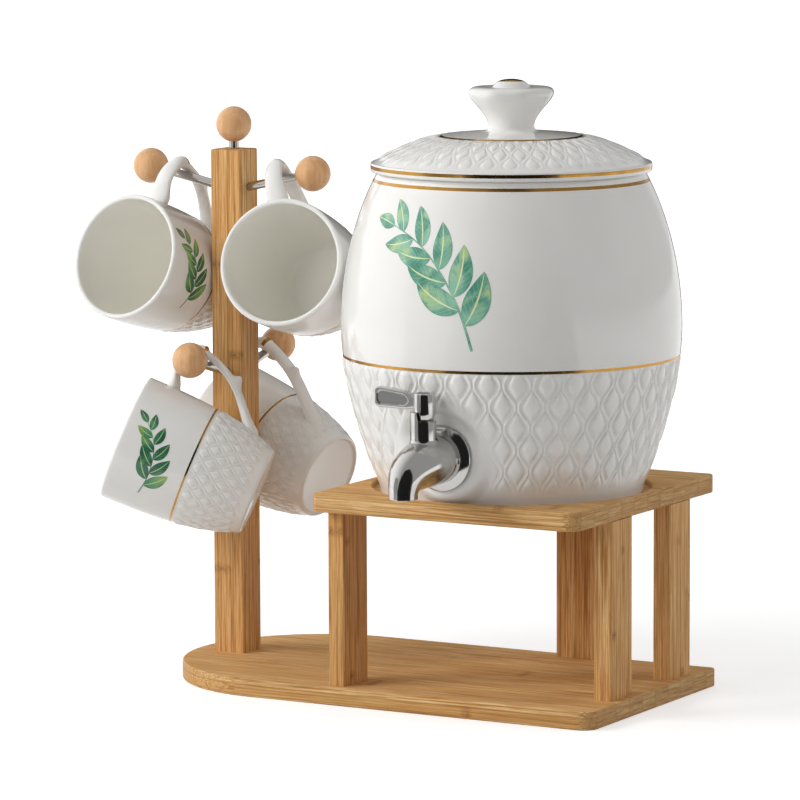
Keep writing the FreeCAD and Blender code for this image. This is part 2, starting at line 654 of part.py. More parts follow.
# The plug's waterway lies across the flow while the tap is shut.
plug = upright(PLUG_RADIUS, plug_bottom, hub_bottom)
spindle = upright(SPINDLE_RADIUS, hub_bottom, spindle_top)
plug_way = rod(WATERWAY_RADIUS, Vector(-2 * PLUG_RADIUS, -STEM_REACH, tap_height),
               Vector(2 * PLUG_RADIUS, -STEM_REACH, tap_height))
cap_bottom = hub_top - CAP_SCREW_HEIGHT
cap_screw = upright(CAP_SCREW_RADIUS, cap_bottom, hub_top)
cap_screw = cap_screw.fuse(upright(CAP_SCREW_SHANK, cap_bottom - CAP_SCREW_LENGTH, cap_bottom))
slot = box(-CAP_SCREW_RADIUS, -STEM_REACH - SLOT_WIDTH / 2, hub_top - SLOT_DEPTH,
           2 * CAP_SCREW_RADIUS, SLOT_WIDTH, SLOT_DEPTH)
parts["valve_plug"] = plug.fuse(spindle).cut([plug_way, cap_screw])
parts["valve_seal"] = seal_groove.cut(upright(PLUG_RADIUS + PLUG_PLAY, plug_bottom, hub_bottom))
parts["lever_screw"] = cap_screw.cut(slot)


# ---- lever: a hub round the spindle and an upright paddle pointing to -X ------
paddle_front = -STEM_REACH - LEVER_THICKNESS / 2
neck_top = hub_top - LEVER_NECK_DROP
end_top = hub_top + LEVER_LIFT


def paddle_shape(start, end, margin, front, thickness):
    """The paddle's tapering outline between two distances from the stem, kept inside by
    a margin and given a thickness backwards from its front."""
    corners = []
    for x, up in ((start, 1), (start, 0), (end, 0), (end, 1)):
        share = x / LEVER_LENGTH
        upper = neck_top + (end_top - neck_top) * share - margin
        height = LEVER_NECK_HEIGHT + (LEVER_END_HEIGHT - LEVER_NECK_HEIGHT) * share - 2 * margin
        corners.append(Vector(-x, front, upper if up else upper - height))
    return prism(corners, BACK * thickness)


paddle = paddle_shape(0, LEVER_LENGTH, 0, paddle_front, LEVER_THICKNESS)
end_edges = [e for e in paddle.Edges
             if e.BoundBox.XMax < -LEVER_PANEL_START and e.BoundBox.YLength > LEVER_THICKNESS / 2]
paddle = paddle.makeFillet(LEVER_END_ROUND, end_edges)
panel_end = LEVER_LENGTH - LEVER_PANEL_MARGIN
panel_fronts = (paddle_front, paddle_front + LEVER_THICKNESS - LEVER_PANEL_DEPTH)
panels = [paddle_shape(LEVER_PANEL_START, panel_end, LEVER_PANEL_MARGIN, front, LEVER_PANEL_DEPTH)
          for front in panel_fronts]
skirt_start = STOP_END + STOP_CLEARANCE_DEGREES
skirt_end = STOP_START + 360 - LEVER_TURN - STOP_CLEARANCE_DEGREES
skirt = sector(SKIRT_RADIUS, hub_bottom, HUB_HEIGHT, skirt_start, skirt_end)
lever = upright(HUB_RADIUS, hub_bottom, hub_top).fuse([paddle, skirt])
parts["tap_lever"] = lever.cut([spindle, cap_screw] + panels)


# ---- mugs --------------------------------------------------------------------
# A mug is drawn upright at the origin, its handle towards +X, then hung on its peg.
def mug_filled(inset, floor):
    """The solid within the mug's side, from a floor height up to the rim's rounding."""
    foot = MUG_FOOT_RADIUS - inset
    rim = MUG_RIM_RADIUS - inset
    top = MUG_HEIGHT - MUG_WALL / 2
    pull = MUG_FOOT_PULL + floor
    side = [(foot + MUG_FOOT_FLARE * floor, floor), (foot + MUG_FOOT_FLARE * pull, pull),
            (rim, MUG_HEIGHT - MUG_RIM_PULL), (rim, top)]
    return turned([(0, floor), side[0]], side, [side[-1], (0, top)], [(0, top), (0, floor)])


def strap_curve():
    """The handle's centre line, from the rim end over the crest to the foot end."""
    curve = Part.BSplineCurve()
    curve.interpolate([Vector(reach, 0, MUG_HEIGHT - below) for reach, below in STRAP_LINE])
    return curve


def mug_solid():
    """One mug and its handle, as the single piece they are fired as."""
    curve = strap_curve()
    start = curve.value(curve.FirstParameter)
    direction = curve.tangent(curve.FirstParameter)[0]
    section = Part.Ellipse(start, STRAP_WIDTH / 2, STRAP_THICKNESS / 2).toShape()
    section.rotate(start, UP, 90)
    section.rotate(start, BACK, math.degrees(math.atan2(direction.x, direction.z)))
    strap = Part.Wire(curve.toShape()).makePipeShell([Part.Wire(section)], True, False)
    spur = ball(SPUR_RADIUS, Vector(SPUR_REACH, 0, MUG_HEIGHT - SPUR_BELOW))
    lip_middle = Vector(CREST_LIP_REACH, 0, MUG_HEIGHT - CREST_LIP_BELOW)
    lip_ends = [lip_middle + side * CREST_LIP_LENGTH / 2 for side in (FRONT, BACK)]
    crest_lip = rod(CREST_LIP_RADIUS, *lip_ends)
    crest_lip = crest_lip.fuse([ball(CREST_LIP_RADIUS, end) for end in lip_ends])
    rim_ring = Part.makeTorus(MUG_RIM_RADIUS - MUG_WALL / 2, MUG_WALL / 2,
                              Vector(0, 0, MUG_HEIGHT - MUG_WALL / 2))
    under_foot = Part.makeCylinder(MUG_FOOT_RADIUS - MUG_RING_WIDTH, MUG_RING_DEPTH)
    mug = mug_filled(0, 0).fuse([strap, spur, crest_lip])
    mug = mug.cut(mug_filled(MUG_WALL, MUG_FLOOR))
    return whole(mug.fuse(rim_ring).cut(under_foot))


def hang_point(slip, play):
    """Where the peg's axis crosses the handle's plane, under the crest of the strap."""
    curve = strap_curve()
    at = curve.parameter(Vector(CREST_REACH, 0, MUG_HEIGHT - CREST_BELOW - slip))
    along = curve.tangent(at)[0]
    inward = Vector(-abs(along.z), 0, math.copysign(along.x, along.x * along.z))
    return curve.value(at) + inward * (STRAP_THICKNESS / 2 + HANG_GAP + play + peg_radius)


def hung(mug, arm, reach, heading, lean, slip, play):
    """The mug on its peg. Its tilt is the one that brings its centre of mass under the peg."""
    outward = arms[arm][0]
    turn, lean = math.radians(heading), math.radians(lean)
    away = Vector(math.sin(turn), math.cos(turn), 0)
    aside = Vector(math.cos(turn), -math.sin(turn), 0)
    if aside.dot(outward) > 0:
        aside = aside * -1
    across = Vector(abs(outward.y), abs(outward.x), 0)
    hook = hang_point(slip, play)
    centre = mug.CenterOfMass
    below = hook.x - centre.x
    drop = below * math.cos(lean)
    behind = hook.z - centre.z
    swing_out = -below * math.sin(lean) * aside.dot(across) / away.dot(across)
    tilt = math.atan2(behind, drop) + math.asin(swing_out / math.hypot(drop, behind))
    axis = UP * math.sin(tilt) - away * math.cos(tilt)
    upward = UP * math.cos(tilt) + away * math.sin(tilt)
    handle = upward * math.cos(lean) + aside * math.sin(lean)
    side = axis.cross(handle)
    place = on_peg(arm, reach)
    matrix = FreeCAD.Matrix(handle.x, side.x, axis.x, place.x, handle.y, side.y, axis.y, place.y,
                            handle.z, side.z, axis.z, place.z, 0, 0, 0, 1)
    mug = moved(mug, -hook.x, 0, -hook.z)
    mug.Placement = FreeCAD.Placement(matrix) * mug.Placement
    print(arm, "mug tilts", round(math.degrees(tilt), 2), "degrees and hangs at", place)
    return mug


plain_mug = mug_solid()
for arm, pose in mug_poses.items():
    parts[arm + "_mug"] = hung(plain_mug, arm, **pose)

for name, shape in parts.items():
    shape.exportStep("parts/" + name + ".step")
    print(name, len(shape.Solids), "solid(s),", round(shape.Volume), "mm3")
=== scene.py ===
# %% [markdown]
# # Water pot with a tap, on a bamboo stand with a mug tree
# A glazed porcelain pot holds a drink and lets it out through a plug tap. It stands in
# a recess of a raised bamboo board, and a square bamboo post beside it carries four
# mugs on tilted steel pegs. This lesson dresses the solid model piece by piece: the
# glazed and plated pieces are worked out as smooth surfaces with numpy, and the
# bamboo, the pegs and the balls keep their solids and get procedural finishes.

# %% Load the solid model
import json
from functools import partial
from math import pi, radians
import bpy
import bmesh
import numpy as np
from mathutils import Matrix, Vector


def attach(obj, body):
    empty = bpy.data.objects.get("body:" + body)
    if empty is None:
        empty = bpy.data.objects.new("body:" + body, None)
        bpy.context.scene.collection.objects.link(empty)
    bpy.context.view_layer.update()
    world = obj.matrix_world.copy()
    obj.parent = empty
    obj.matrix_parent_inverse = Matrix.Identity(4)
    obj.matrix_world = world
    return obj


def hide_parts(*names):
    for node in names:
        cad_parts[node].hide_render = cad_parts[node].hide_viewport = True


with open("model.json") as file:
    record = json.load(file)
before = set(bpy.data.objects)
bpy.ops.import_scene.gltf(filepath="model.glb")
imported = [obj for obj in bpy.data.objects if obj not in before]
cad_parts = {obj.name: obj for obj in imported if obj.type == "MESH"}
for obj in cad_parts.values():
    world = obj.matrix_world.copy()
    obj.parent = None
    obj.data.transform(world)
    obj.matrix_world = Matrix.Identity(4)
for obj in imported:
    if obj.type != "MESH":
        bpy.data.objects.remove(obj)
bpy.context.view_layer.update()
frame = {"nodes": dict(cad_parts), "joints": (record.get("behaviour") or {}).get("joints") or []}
MM = 0.001

# %% [markdown]
# ## Colours and nodes
# Blender's sockets work in linear light, while colours are written here as the usual
# sRGB hex values, and one function turns one into the other. A finish is a net of small
# nodes: each takes values in and hands results on. One function adds a node with its
# settings and links and returns its outputs, which feed the next node. A Mix node for
# colours takes them at its sockets 6 and 7 and hands the blend on at number 2. Most
# finishes here are one noise that shifts the tone and the gloss a little.


# %% Colour and node helpers
def linear(hex_colour):
    """The linear RGBA of an sRGB hex colour."""
    values = np.array([int(hex_colour[i:i + 2], 16) for i in (1, 3, 5)]) / 255
    curved = ((values + 0.055) / 1.055) ** 2.4
    return (*np.where(values <= 0.04045, values / 12.92, curved).tolist(), 1.0)


def feed(node, inputs):
    """Fills a node's sockets. Inputs are a list for the first sockets, or map a socket's
    name or number to what goes in: a value, a hex colour or another node's output."""
    for socket, value in inputs.items() if isinstance(inputs, dict) else enumerate(inputs):
        if isinstance(value, bpy.types.NodeSocket):
            node.id_data.links.new(value, node.inputs[socket])
        else:
            node.inputs[socket].default_value = linear(value) if isinstance(value, str) else value


def add_node(owner, kind, inputs=(), **settings):
    """Adds a shader node to a material or world, and returns its outputs."""
    node = owner.node_tree.nodes.new("ShaderNode" + kind)
    for name, value in settings.items():
        setattr(node, name, value)
    feed(node, inputs)
    return node.outputs


def new_material(name):
    """A material, its surface shader, add_node for this material, and the place on the
    object, in metres from its origin."""
    material = bpy.data.materials.new(name)
    material.use_nodes = True
    add = partial(add_node, material)
    return material, material.node_tree.nodes["Principled BSDF"], add, add("TexCoord")["Object"]


def layered(add, tone, washes):
    """A tone under washes of colour. Each wash's share goes from `thin` to `full` while its
    value climbs from low to high."""
    for value, low, high, thin, full, colour in washes:
        share = add("MapRange", [value, low, high, thin, full])[0]
        tone = add("Mix", {0: share, 6: tone, 7: colour}, data_type="RGBA")[2]
    return tone


def mottled(name, scale, surface, tones=None, gloss=None, relief=None, detail=3.0, stretch=None):
    """A finish that drifts with one noise: between two tones, and between two values of
    roughness in `gloss`. `surface` fills the shader's other sockets, and relief is a
    bump: its own noise's scale, its strength and its height in millimetres."""
    material, shader, add, place = new_material(name)
    if stretch:
        place = add("Mapping", {"Vector": place, "Scale": stretch})[0]
    drift = add("TexNoise", {"Vector": place, "Scale": scale, "Detail": detail})[0]
    feed(shader, surface)
    if tones:
        feed(shader, {"Base Color": layered(add, tones[0], [(drift, 0, 1, 0, 1, tones[1])])})
    if gloss:
        feed(shader, {"Roughness": add("MapRange", [drift, 0.3, 0.7, *gloss])[0]})
    if relief:
        ripple = add("TexNoise", {"Vector": place, "Scale": relief[0], "Detail": detail})[0]
        bump = add("Bump", {"Height": ripple, "Strength": relief[1], "Distance": relief[2] * MM})
        feed(shader, {"Normal": bump[0]})
    return material


print("white", np.round(linear("#FFFFFF"), 3).tolist())

# %% [markdown]
# ## Glazed porcelain
# Porcelain is fired white clay under a thin coat of glass. The glaze gives a clear,
# sharp reflection over a soft white, and it settles a little unevenly, so its white
# drifts by a shade and its surface ripples very slightly. The bare foot ring, which
# stands on the kiln shelf, keeps no glaze and stays matt.


# %% Porcelain finishes
def porcelain(name, pale, dark):
    """Cast porcelain, dipped in clear glaze and fired. The eye sees sharp glints over a
    soft white. The white drifts where the glaze ran thicker, and the glints waver a
    little with a ripple some 6 mm long."""
    return mottled(name, 25.0, {"IOR": 1.5}, (pale, dark),
                   gloss=(0.10, 0.16), relief=(160.0, 0.03, 1.0))


def bare_clay():
    """Porcelain wiped clean of glaze before firing. The eye sees it matt, a shade
    yellower, with a grit. Real grit is near 0.1 mm and is drawn at 0.7 mm to show."""
    return mottled("bare fired porcelain", 1500.0, {"Roughness": 0.85}, ("#EEE9DF", "#E4DDD0"),
                   relief=(1500.0, 0.3, 0.1))


def gold_lustre():
    """Liquid gold, brushed on in a thin line and fired. The eye sees a metal film that
    flashes from pale to dark, with a gloss as uneven as the brush left it."""
    return mottled("fired gold lustre", 90.0, {"Metallic": 1.0}, ("#C79A4E", "#A67A38"),
                   gloss=(0.16, 0.30), detail=4.0)


glaze = porcelain("glazed porcelain", "#F4F3F0", "#EEEDE9")
cream = porcelain("glazed porcelain, cream", "#FAF8F1", "#F6F4EB")
clay, gold = bare_clay(), gold_lustre()
print("finishes", glaze.name, clay.name, gold.name)

# %% [markdown]
# ## Surfaces from grids
# Every glazed or plated piece here is a grid of points with quads between them. A turned
# piece is a profile of radii and heights carried round an axis. A bent one is a
# ring carried along a path. Shapes are worked out in millimetres. One function turns
# grids into a mesh in metres, closes their poles, points the faces outwards and keeps
# a map of the surface for patterns.


# %% Grids and meshes
def shell(points, finish=0, wrap=True):
    """One skin over a grid (rows, columns, 3). Finish is a material number for the whole
    grid, for each row of quads, or for each quad."""
    rows, columns = points.shape[:2]
    spread = columns if wrap else columns - 1
    row, column = np.meshgrid(np.arange(rows - 1), np.arange(spread), indexing="ij")
    after = (column + 1) % columns
    corners = [row * columns + column, row * columns + after,
               (row + 1) * columns + after, (row + 1) * columns + column]
    u = np.stack([column, column + 1, column + 1, column], -1) / spread
    v = np.stack([row, row, row + 1, row + 1], -1) / (rows - 1)
    finish = np.asarray(finish, dtype=int)
    if finish.ndim == 1:
        finish = finish[:, None]
    return {"points": points.reshape(-1, 3), "faces": np.stack(corners, -1).reshape(-1, 4),
            "map": np.stack([u, v], -1).reshape(-1, 2),
            "finish": np.broadcast_to(finish, row.shape).ravel()}


def seam(first, second):
    """A row of faces between the end rings of two skins. If one ring has a whole number of
    times as many points as the other, each face spans that many of its edges."""
    few, many = sorted((first, second), key=len)
    step = len(many) // len(few)
    number = np.arange(len(few))[:, None]
    near = np.concatenate([number, (number + 1) % len(few)], 1)
    far = len(few) + ((number + 1) * step - np.arange(step + 1)) % len(many)
    faces = np.concatenate([near, far], 1)
    return {"points": np.concatenate([few, many]), "faces": faces, "map": np.zeros((faces.size, 2)),
            "finish": np.zeros(len(few), dtype=int)}


def chain(*skins):
    """Shells of skins that follow each other, each a grid with its finish, with seams
    where the number of columns changes."""
    shells = [shell(grid, finish) for grid, finish in skins]
    grids = [grid for grid, _ in skins]
    return shells + [seam(before[-1], after[0]) for before, after in zip(grids, grids[1:])]


def put(name, data):
    """A new object, linked into the scene."""
    made = bpy.data.objects.new(name, data)
    bpy.context.scene.collection.objects.link(made)
    return made


def piece(name, shells, finishes, body, stands_for=(), hard=40, outward=True):
    """One mesh in metres from its shells in millimetres, riding on a body. Edges sharper
    than `hard` degrees show."""
    starts = np.cumsum([0] + [len(s["points"]) for s in shells])
    faces = [(s["faces"] + start).tolist() for s, start in zip(shells, starts)]
    mesh = bpy.data.meshes.new(name)
    points = np.concatenate([s["points"] for s in shells]) * MM
    mesh.from_pydata(points.tolist(), [], sum(faces, []))
    layer = mesh.uv_layers.new(name="surface")
    layer.data.foreach_set("uv", np.concatenate([s["map"] for s in shells]).ravel())
    mesh.polygons.foreach_set("material_index", np.concatenate([s["finish"] for s in shells]))
    for finish in finishes:
        mesh.materials.append(finish)
    work = bmesh.new()
    work.from_mesh(mesh)
    bmesh.ops.remove_doubles(work, verts=work.verts, dist=0.001 * MM)
    if outward:
        bmesh.ops.recalc_face_normals(work, faces=work.faces)
    work.to_mesh(mesh)
    work.free()
    mesh.shade_smooth()
    mesh.set_sharp_from_angle(angle=radians(hard))
    made = put(name, mesh)
    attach(made, body)
    if stands_for:
        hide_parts(*stands_for)
    print(name, len(mesh.polygons), "faces")


def bezier(poles, steps):
    """Points of a cubic Bezier curve from its four poles."""
    t = np.linspace(0, 1, steps)[:, None]
    start, leave, arrive, end = np.asarray(poles, float)
    return ((1 - t) ** 3 * start + 3 * (1 - t) ** 2 * t * leave
            + 3 * (1 - t) * t * t * arrive + t ** 3 * end)


def corner(before, tip, after, steps=6):
    """A rounded corner: the quadratic curve from one point to another, pulled to a tip.
    Instead of a point's two numbers it also takes rows of them."""
    t = np.linspace(0, 1, steps)[:, None]
    before, tip, after = (np.asarray(p, float) for p in (before, tip, after))
    return (1 - t) ** 2 * before + 2 * (1 - t) * t * tip + t * t * after


def angles(columns):
    """The angle of each column of a full turn."""
    return np.arange(columns) * 2 * pi / columns


def ways(line):
    """Unit steps along a line of flat points, and unit steps to its left."""
    way = np.gradient(line, axis=0)
    way /= np.linalg.norm(way, axis=1)[:, None]
    return way, np.stack([-way[:, 1], way[:, 0]], -1)


def travelled(line):
    """Distance along a line, at each of its points."""
    return np.concatenate([[0], np.cumsum(np.linalg.norm(np.diff(line, axis=0), axis=1))])


def capped(rings):
    """A grid of rings with a pole at the middle of each end ring."""
    first, last = (ring.mean(1, keepdims=True) + 0 * ring for ring in (rings[:1], rings[-1:]))
    return np.concatenate([first, rings, last])


def spun(radius, height, turn):
    """Points (rows, columns, 3) of a turned surface. Radius may differ at each point."""
    radius, height, turn = np.broadcast_arrays(radius, height, turn)
    return np.stack([radius * np.cos(turn), radius * np.sin(turn), height], -1)


def turned(profile, columns):
    """A plain turned surface from (radius, height) rows."""
    profile = np.asarray(profile, float)
    return spun(profile[:, :1], profile[:, 1:], angles(columns))


def ease(value, low, high):
    """0 below low, 1 above high, and a smooth step between."""
    t = np.clip((value - low) / (high - low), 0, 1)
    return t * t * (3 - 2 * t)


quarter_bend = bezier([(0, 0), (0, 1), (1, 2), (2, 2)], 3)
print("the middle of a bend lies at", np.round(quarter_bend[1], 2).tolist())

# %% [markdown]
# ## The embossed drops
# The lower half of the pot, the lid and the mugs carry one old potter's pattern: rows of
# drops, each in an ogee cell with a fine raised outline. Wavy upright lines make
# it, because neighbours wave in opposite phase, so they part round each drop and
# meet above and below it. The height of the relief is a function of the angle round the
# piece and the distance along it, so it can move the grid's points themselves.


# %% Relief of ogee cells with drops
SWING = 0.39                  # how far a line waves to each side, in cells
LINE_SPREAD = 0.0060          # its spread squared, in cells
DROP_HALF = 0.60              # half a drop's width, in cells
DROP_UP, DROP_DOWN = 0.80, 0.62   # how far it reaches up and down, in rows


def drops(turn, along, cells, row, ridge, drop):
    """Relief height at an angle and a distance along the piece. `cells` go round, rows of
    drops are `row` apart, and the ridges and drops rise by the heights given."""
    across = turn * cells / pi
    phase = pi * along / row
    low = np.floor(across)
    lines, bodies = np.zeros_like(along), np.zeros_like(along)
    for near in (-1, 0, 1, 2):
        line = low + near
        sign = np.where(line % 2 == 0, 1.0, -1.0)
        away = across - (line + sign * SWING * np.cos(phase))
        slant = 1 + (0.8 * np.sin(phase)) ** 2
        lines = np.maximum(lines, np.exp(-away ** 2 / (LINE_SPREAD * slant)))
    for near in (-1, 0, 1):
        cell = low + near
        middle = np.where(cell % 2 == 0, row, 0.0)
        above = (along - middle + row) % (2 * row) - row
        sideways = np.abs(across - cell - 0.5) / DROP_HALF
        length = np.where(above > 0, DROP_UP, DROP_DOWN) * row
        narrowing = np.clip(1 - np.abs(above) / length, 0.02, 1) ** 1.2
        shape = 1 - sideways ** 2 / narrowing - (above / length) ** 2
        bodies = np.maximum(bodies, np.clip(shape, 0, 1))
    return ridge * lines + drop * np.sqrt(bodies) * ease(bodies, 0.0, 0.25)


sample = drops(np.linspace(0, 1, 50), np.linspace(0, 20, 50), 36, 14.5, 1.0, 1.0)
print("relief runs from", round(sample.min(), 2), "to", round(sample.max(), 2))

# %% [markdown]
# ## The pot
# The pot is thrown or cast: a narrow foot, a belly and a shoulder that draws in to the
# mouth. Its outline is two Bezier curves, sampled finely where the relief lies. In
# front, the wall is pressed flat for the tap: points near the tap's axis slide onto
# one upright plane, and the relief fades out round it. The gold lines are rows of
# the same grid with another finish.

# %% Pot sizes
SEAT = 139.3             # the recess that the pot stands in
RIM = 352.0
WALL = 6.0
TAP_HEIGHT = 173.0
PAD = 95.5               # pot axis to the flat pad behind the tap
PRESSED = (23, 35)       # from the tap's axis: all flat, and no longer flat
CLEAR = (31, 44)         # from the tap's axis: no relief, and full relief
WAIST = (230.2, 232.1)
NECK_LINE = (346.0, 348.1)
TILES = 36               # cells round the pot and the lid
pot_side = np.concatenate([
    bezier([(87.5, SEAT), (87.5, SEAT + 8), (113.1, 202.3), (113.1, 249.8)], 200),
    bezier([(113.1, 249.8), (113.1, 294.8), (99.8, RIM - 20), (88.5, RIM)], 200)[1:]])
print("pot", round(RIM - SEAT, 1), "mm tall and", round(2 * pot_side[:, 0].max(), 1), "mm across")


def pot_radius(height):
    """The pot's outer radius at a height."""
    return np.interp(height, pot_side[:, 1], pot_side[:, 0])


# %% Build the pot
def pot_relief(columns, rows):
    """The embossed lower half, from above the foot up to the waist line."""
    heights = np.linspace(SEAT + 1.6, WAIST[0], rows)
    height, turn = np.meshgrid(heights, angles(columns), indexing="ij")
    radius = pot_radius(height)
    level, width = radius * np.sin(turn), radius * np.cos(turn)
    from_tap = np.where(level < 0, np.hypot(width, height - TAP_HEIGHT), np.inf)
    fade = ease(from_tap, *CLEAR) * ease(height, SEAT + 9, SEAT + 20)
    below_waist = 1 - ease(height, WAIST[0] - 2.0, WAIST[0])
    relief = drops(turn + radians(67.5), height - 222.8, TILES, row=14.5, ridge=0.85, drop=1.45)
    radius = radius + below_waist * fade * relief - 0.5
    points = spun(radius, height, turn)
    pressed = 1 - ease(from_tap, *PRESSED)
    points[..., 1] += pressed * (-PAD - points[..., 1])
    return points


def build_pot():
    """The pot's skins: foot, embossed part, and the plain wall over the rim and inside."""
    floor = SEAT + 7
    foot = [(0, SEAT + 2.5), (40, SEAT + 2.5), (77.3, SEAT + 2.5), (78.5, SEAT + 1.3),
            (79.6, SEAT), (86.2, SEAT)]
    edge = corner(foot[-1], (87.5, SEAT), (pot_radius(SEAT + 1.6) - 0.5, SEAT + 1.6), 4)
    heights = np.concatenate([np.linspace(*WAIST, 3), np.linspace(WAIST[1], NECK_LINE[0], 26)[1:],
                              np.linspace(*NECK_LINE, 3)[1:], [RIM - 1.2]])
    wall = np.stack([pot_radius(heights), heights], -1)
    down = np.linspace(RIM - 1.2, SEAT + 13, 24)
    inner = np.stack([pot_radius(down) - WALL, down], -1)
    outer_edge, mouth, low = wall[-1, 0], inner[0, 0], inner[-1]
    lip = np.concatenate([
        corner(wall[-1], (outer_edge - 0.4, RIM), (outer_edge - 1.6, RIM))[1:],
        corner((mouth + 1.4, RIM), (mouth, RIM), (mouth, RIM - 1.2))])
    bowl = np.concatenate([inner[1:], corner(low, (low[0] - 1.5, floor), (low[0] - 9, floor))[1:],
                           [(30, floor), (0, floor)]])
    upper = np.concatenate([wall, lip, bowl])
    middle = (upper[1:, 1] + upper[:-1, 1]) / 2
    lines = sum((middle > low) & (middle < high) for low, high in (WAIST, NECK_LINE))
    lines[len(wall):] = 0
    skins = chain((turned(np.concatenate([foot, edge[1:]]), 168), [0, 0, 0, 2, 2, 0, 0, 0]),
                  (pot_relief(1008, 84), 0),
                  (turned(upper, 168), lines))
    piece("pot_glazed", skins, [glaze, gold, clay], "pot", ["pot_body"])


build_pot()

# %% [markdown]
# ## The lid
# The lid sits over the rim and drops a ring inside the mouth, so it can't slide off. Its
# dome has the same drops, then a gold ring, then a plain disc with a waisted knob
# that flares into a soft, gently lobed lip. The three skins have as many columns as
# their detail needs: many for the relief, few for the plain parts.

# %% Build the lid
LID_RING = 46.5          # radius of the thin gold ring on the dome
LID_BAND = (354.7, 357.0)     # the gold band round the edge, from below to above


def lid_relief(dome, columns):
    """The dome's embossed part: a turned surface raised by rows of drops."""
    along = travelled(dome)[:, None]
    radius, height, turn = np.broadcast_arrays(dome[:, :1], dome[:, 1:], angles(columns))
    fade = ease(radius, LID_RING + 1, LID_RING + 5) * (1 - ease(radius, 85, 90))
    relief = drops(turn, along + 0 * turn - 8, TILES, row=13.0, ridge=0.38, drop=0.85)
    return spun(radius, height + fade * relief, turn)


def build_lid():
    """The lid's skins: underside with its ring and rim, dome, and disc with the knob."""
    dome = bezier([(91.4, 358.4), (77.5, 366.3), (60.0, 374.3), (LID_RING + 0.9, 375.2)], 76)
    below = [(0, 373.5), (40.0, 364.5), (75.9, 356.0), (75.9, 343.6), (76.5, 343.0),
             (80.3, 343.0), (80.9, 343.6), (80.9, 352.15), (91.2, 352.15)]
    edge = np.concatenate([
        corner(below[-1], (93.0, 352.15), (93.0, 354.2)),
        [(93.0, height) for height in LID_BAND],
        corner((93.0, LID_BAND[1]), (93.0, 358.6), dome[0])[1:]])
    ring = [(LID_RING + 0.9, 375.2), (LID_RING - 0.5, 376.1)]
    disc = bezier([(46.0, 376.1), (38.0, 377.0), (27.0, 377.9), (18.6, 378.4)], 14)
    knob = np.concatenate([
        corner((18.6, 378.4), (15.6, 378.9), (15.2, 381.5)),
        bezier([(15.2, 381.5), (15.6, 388.0), (20.6, 392.6), (24.8, 397.5)], 24)[1:],
        bezier([(24.8, 397.5), (27.4, 400.4), (28.9, 403.0), (28.2, 405.0)], 12)[1:],
        bezier([(28.2, 405.0), (27.6, 406.9), (25.4, 407.9), (21.5, 407.9)], 10)[1:],
        [(17.5, 407.6), (13.6, 407.2), (12.6, 407.6)],
        bezier([(12.6, 407.6), (11.4, 409.4), (10.0, 410.6), (8.6, 411.4)], 8)[1:],
        bezier([(8.6, 411.4), (6.0, 412.5), (3.0, 412.9), (0, 412.9)], 8)[1:]])
    upper = np.concatenate([ring, disc[1:], knob[1:]])
    # The knob's lip swells in eight soft lobes.
    radius, height, turn = np.broadcast_arrays(upper[:, :1], upper[:, 1:], angles(126))
    petals = ease(height, 394, 403) * ease(radius, 14, 22)
    top = spun(radius * (1 + 0.015 * petals * np.cos(8 * turn)), height, turn)
    gilded = np.zeros(len(upper) - 1)
    gilded[[0, *range(-7, 0)]] = 1
    rim = np.concatenate([below, edge[1:]])
    skins = chain((turned(rim, 126), rim[:-1, 1] == LID_BAND[0]),
                  (lid_relief(dome, 756), 0), (top, gilded))
    piece("lid_glazed", skins, [glaze, gold], "lid", ["lid"])


build_lid()

# %% [markdown]
# ## Polished and brushed metal
# The tap is cast, ground and polished until it mirrors the room, so its look is nearly all
# reflection, with only a trace of uneven polish. The recessed panel of the lever is
# brushed along its length. The pegs are drawn steel rod with a softer polish.


# %% Metal finishes
def polished(name, colour, low, high):
    """Steel or plating, buffed on a wheel. The eye sees the room in it, in bands with
    sharp edges, a little softer in the patches that the wheel crossed less."""
    return mottled(name, 220.0, {"Base Color": colour, "Metallic": 1.0},
                   gloss=(low, high), detail=4.0)


def brushed():
    """Steel brushed along X. The eye sees a dull grey with fine lines. Real strokes are
    near 0.02 mm apart and are drawn at 0.25 mm to show."""
    return mottled("brushed steel", 4000.0, {"Metallic": 1.0, "Roughness": 0.42},
                   ("#ADADAB", "#979795"), relief=(4000.0, 0.15, 0.05),
                   detail=2.0, stretch=(0.04, 1, 1))


chrome = polished("mirror polished plating", "#C2C1BF", 0.08, 0.16)
peg_steel = polished("drawn and polished steel", "#BFBBB6", 0.12, 0.22)
dark_steel = polished("plain screw steel", "#6A6A6B", 0.30, 0.42)
panel_steel = brushed()
print("metals", chrome.name, peg_steel.name, panel_steel.name)

# %% [markdown]
# ## The tap
# The body starts as a bell at its flange and narrows as it bends down to the outlet. It is
# a ring of changing radius carried along a bent centre line. The upright collar,
# which holds the plug, grows out of the bell with a small fillet: at each angle round
# the collar, a curve starts on the bell and ends upright. On the left the collar has
# a raised stop that limits the lever to a quarter turn.

# %% Tap sizes
FLANGE_FACE = 101.6      # pot axis to the flange's front
TAP_REACH = 147.0
OUTLET = 152.3           # height of the outlet's lip
STEM = np.array([0, -120.7, 0])
COLLAR = 8.5
COLLAR_TOP = 200.1
MOUTH = 9.4              # outer radius at the outlet
ROOT = 16.6              # outer radius at the flange
bend = bezier([(-FLANGE_FACE, TAP_HEIGHT), (-133.38, TAP_HEIGHT),
               (-TAP_REACH, 167.69), (-TAP_REACH, OUTLET + 3)], 161)
share = np.linspace(0, 1, 161)
bend_radius = MOUTH + (ROOT - MOUTH) * np.clip(np.cos(pi / 2 * share), 0, 1) ** 1.4
print("tap narrows from", round(2 * ROOT, 1), "to", round(2 * MOUTH, 1), "mm across")


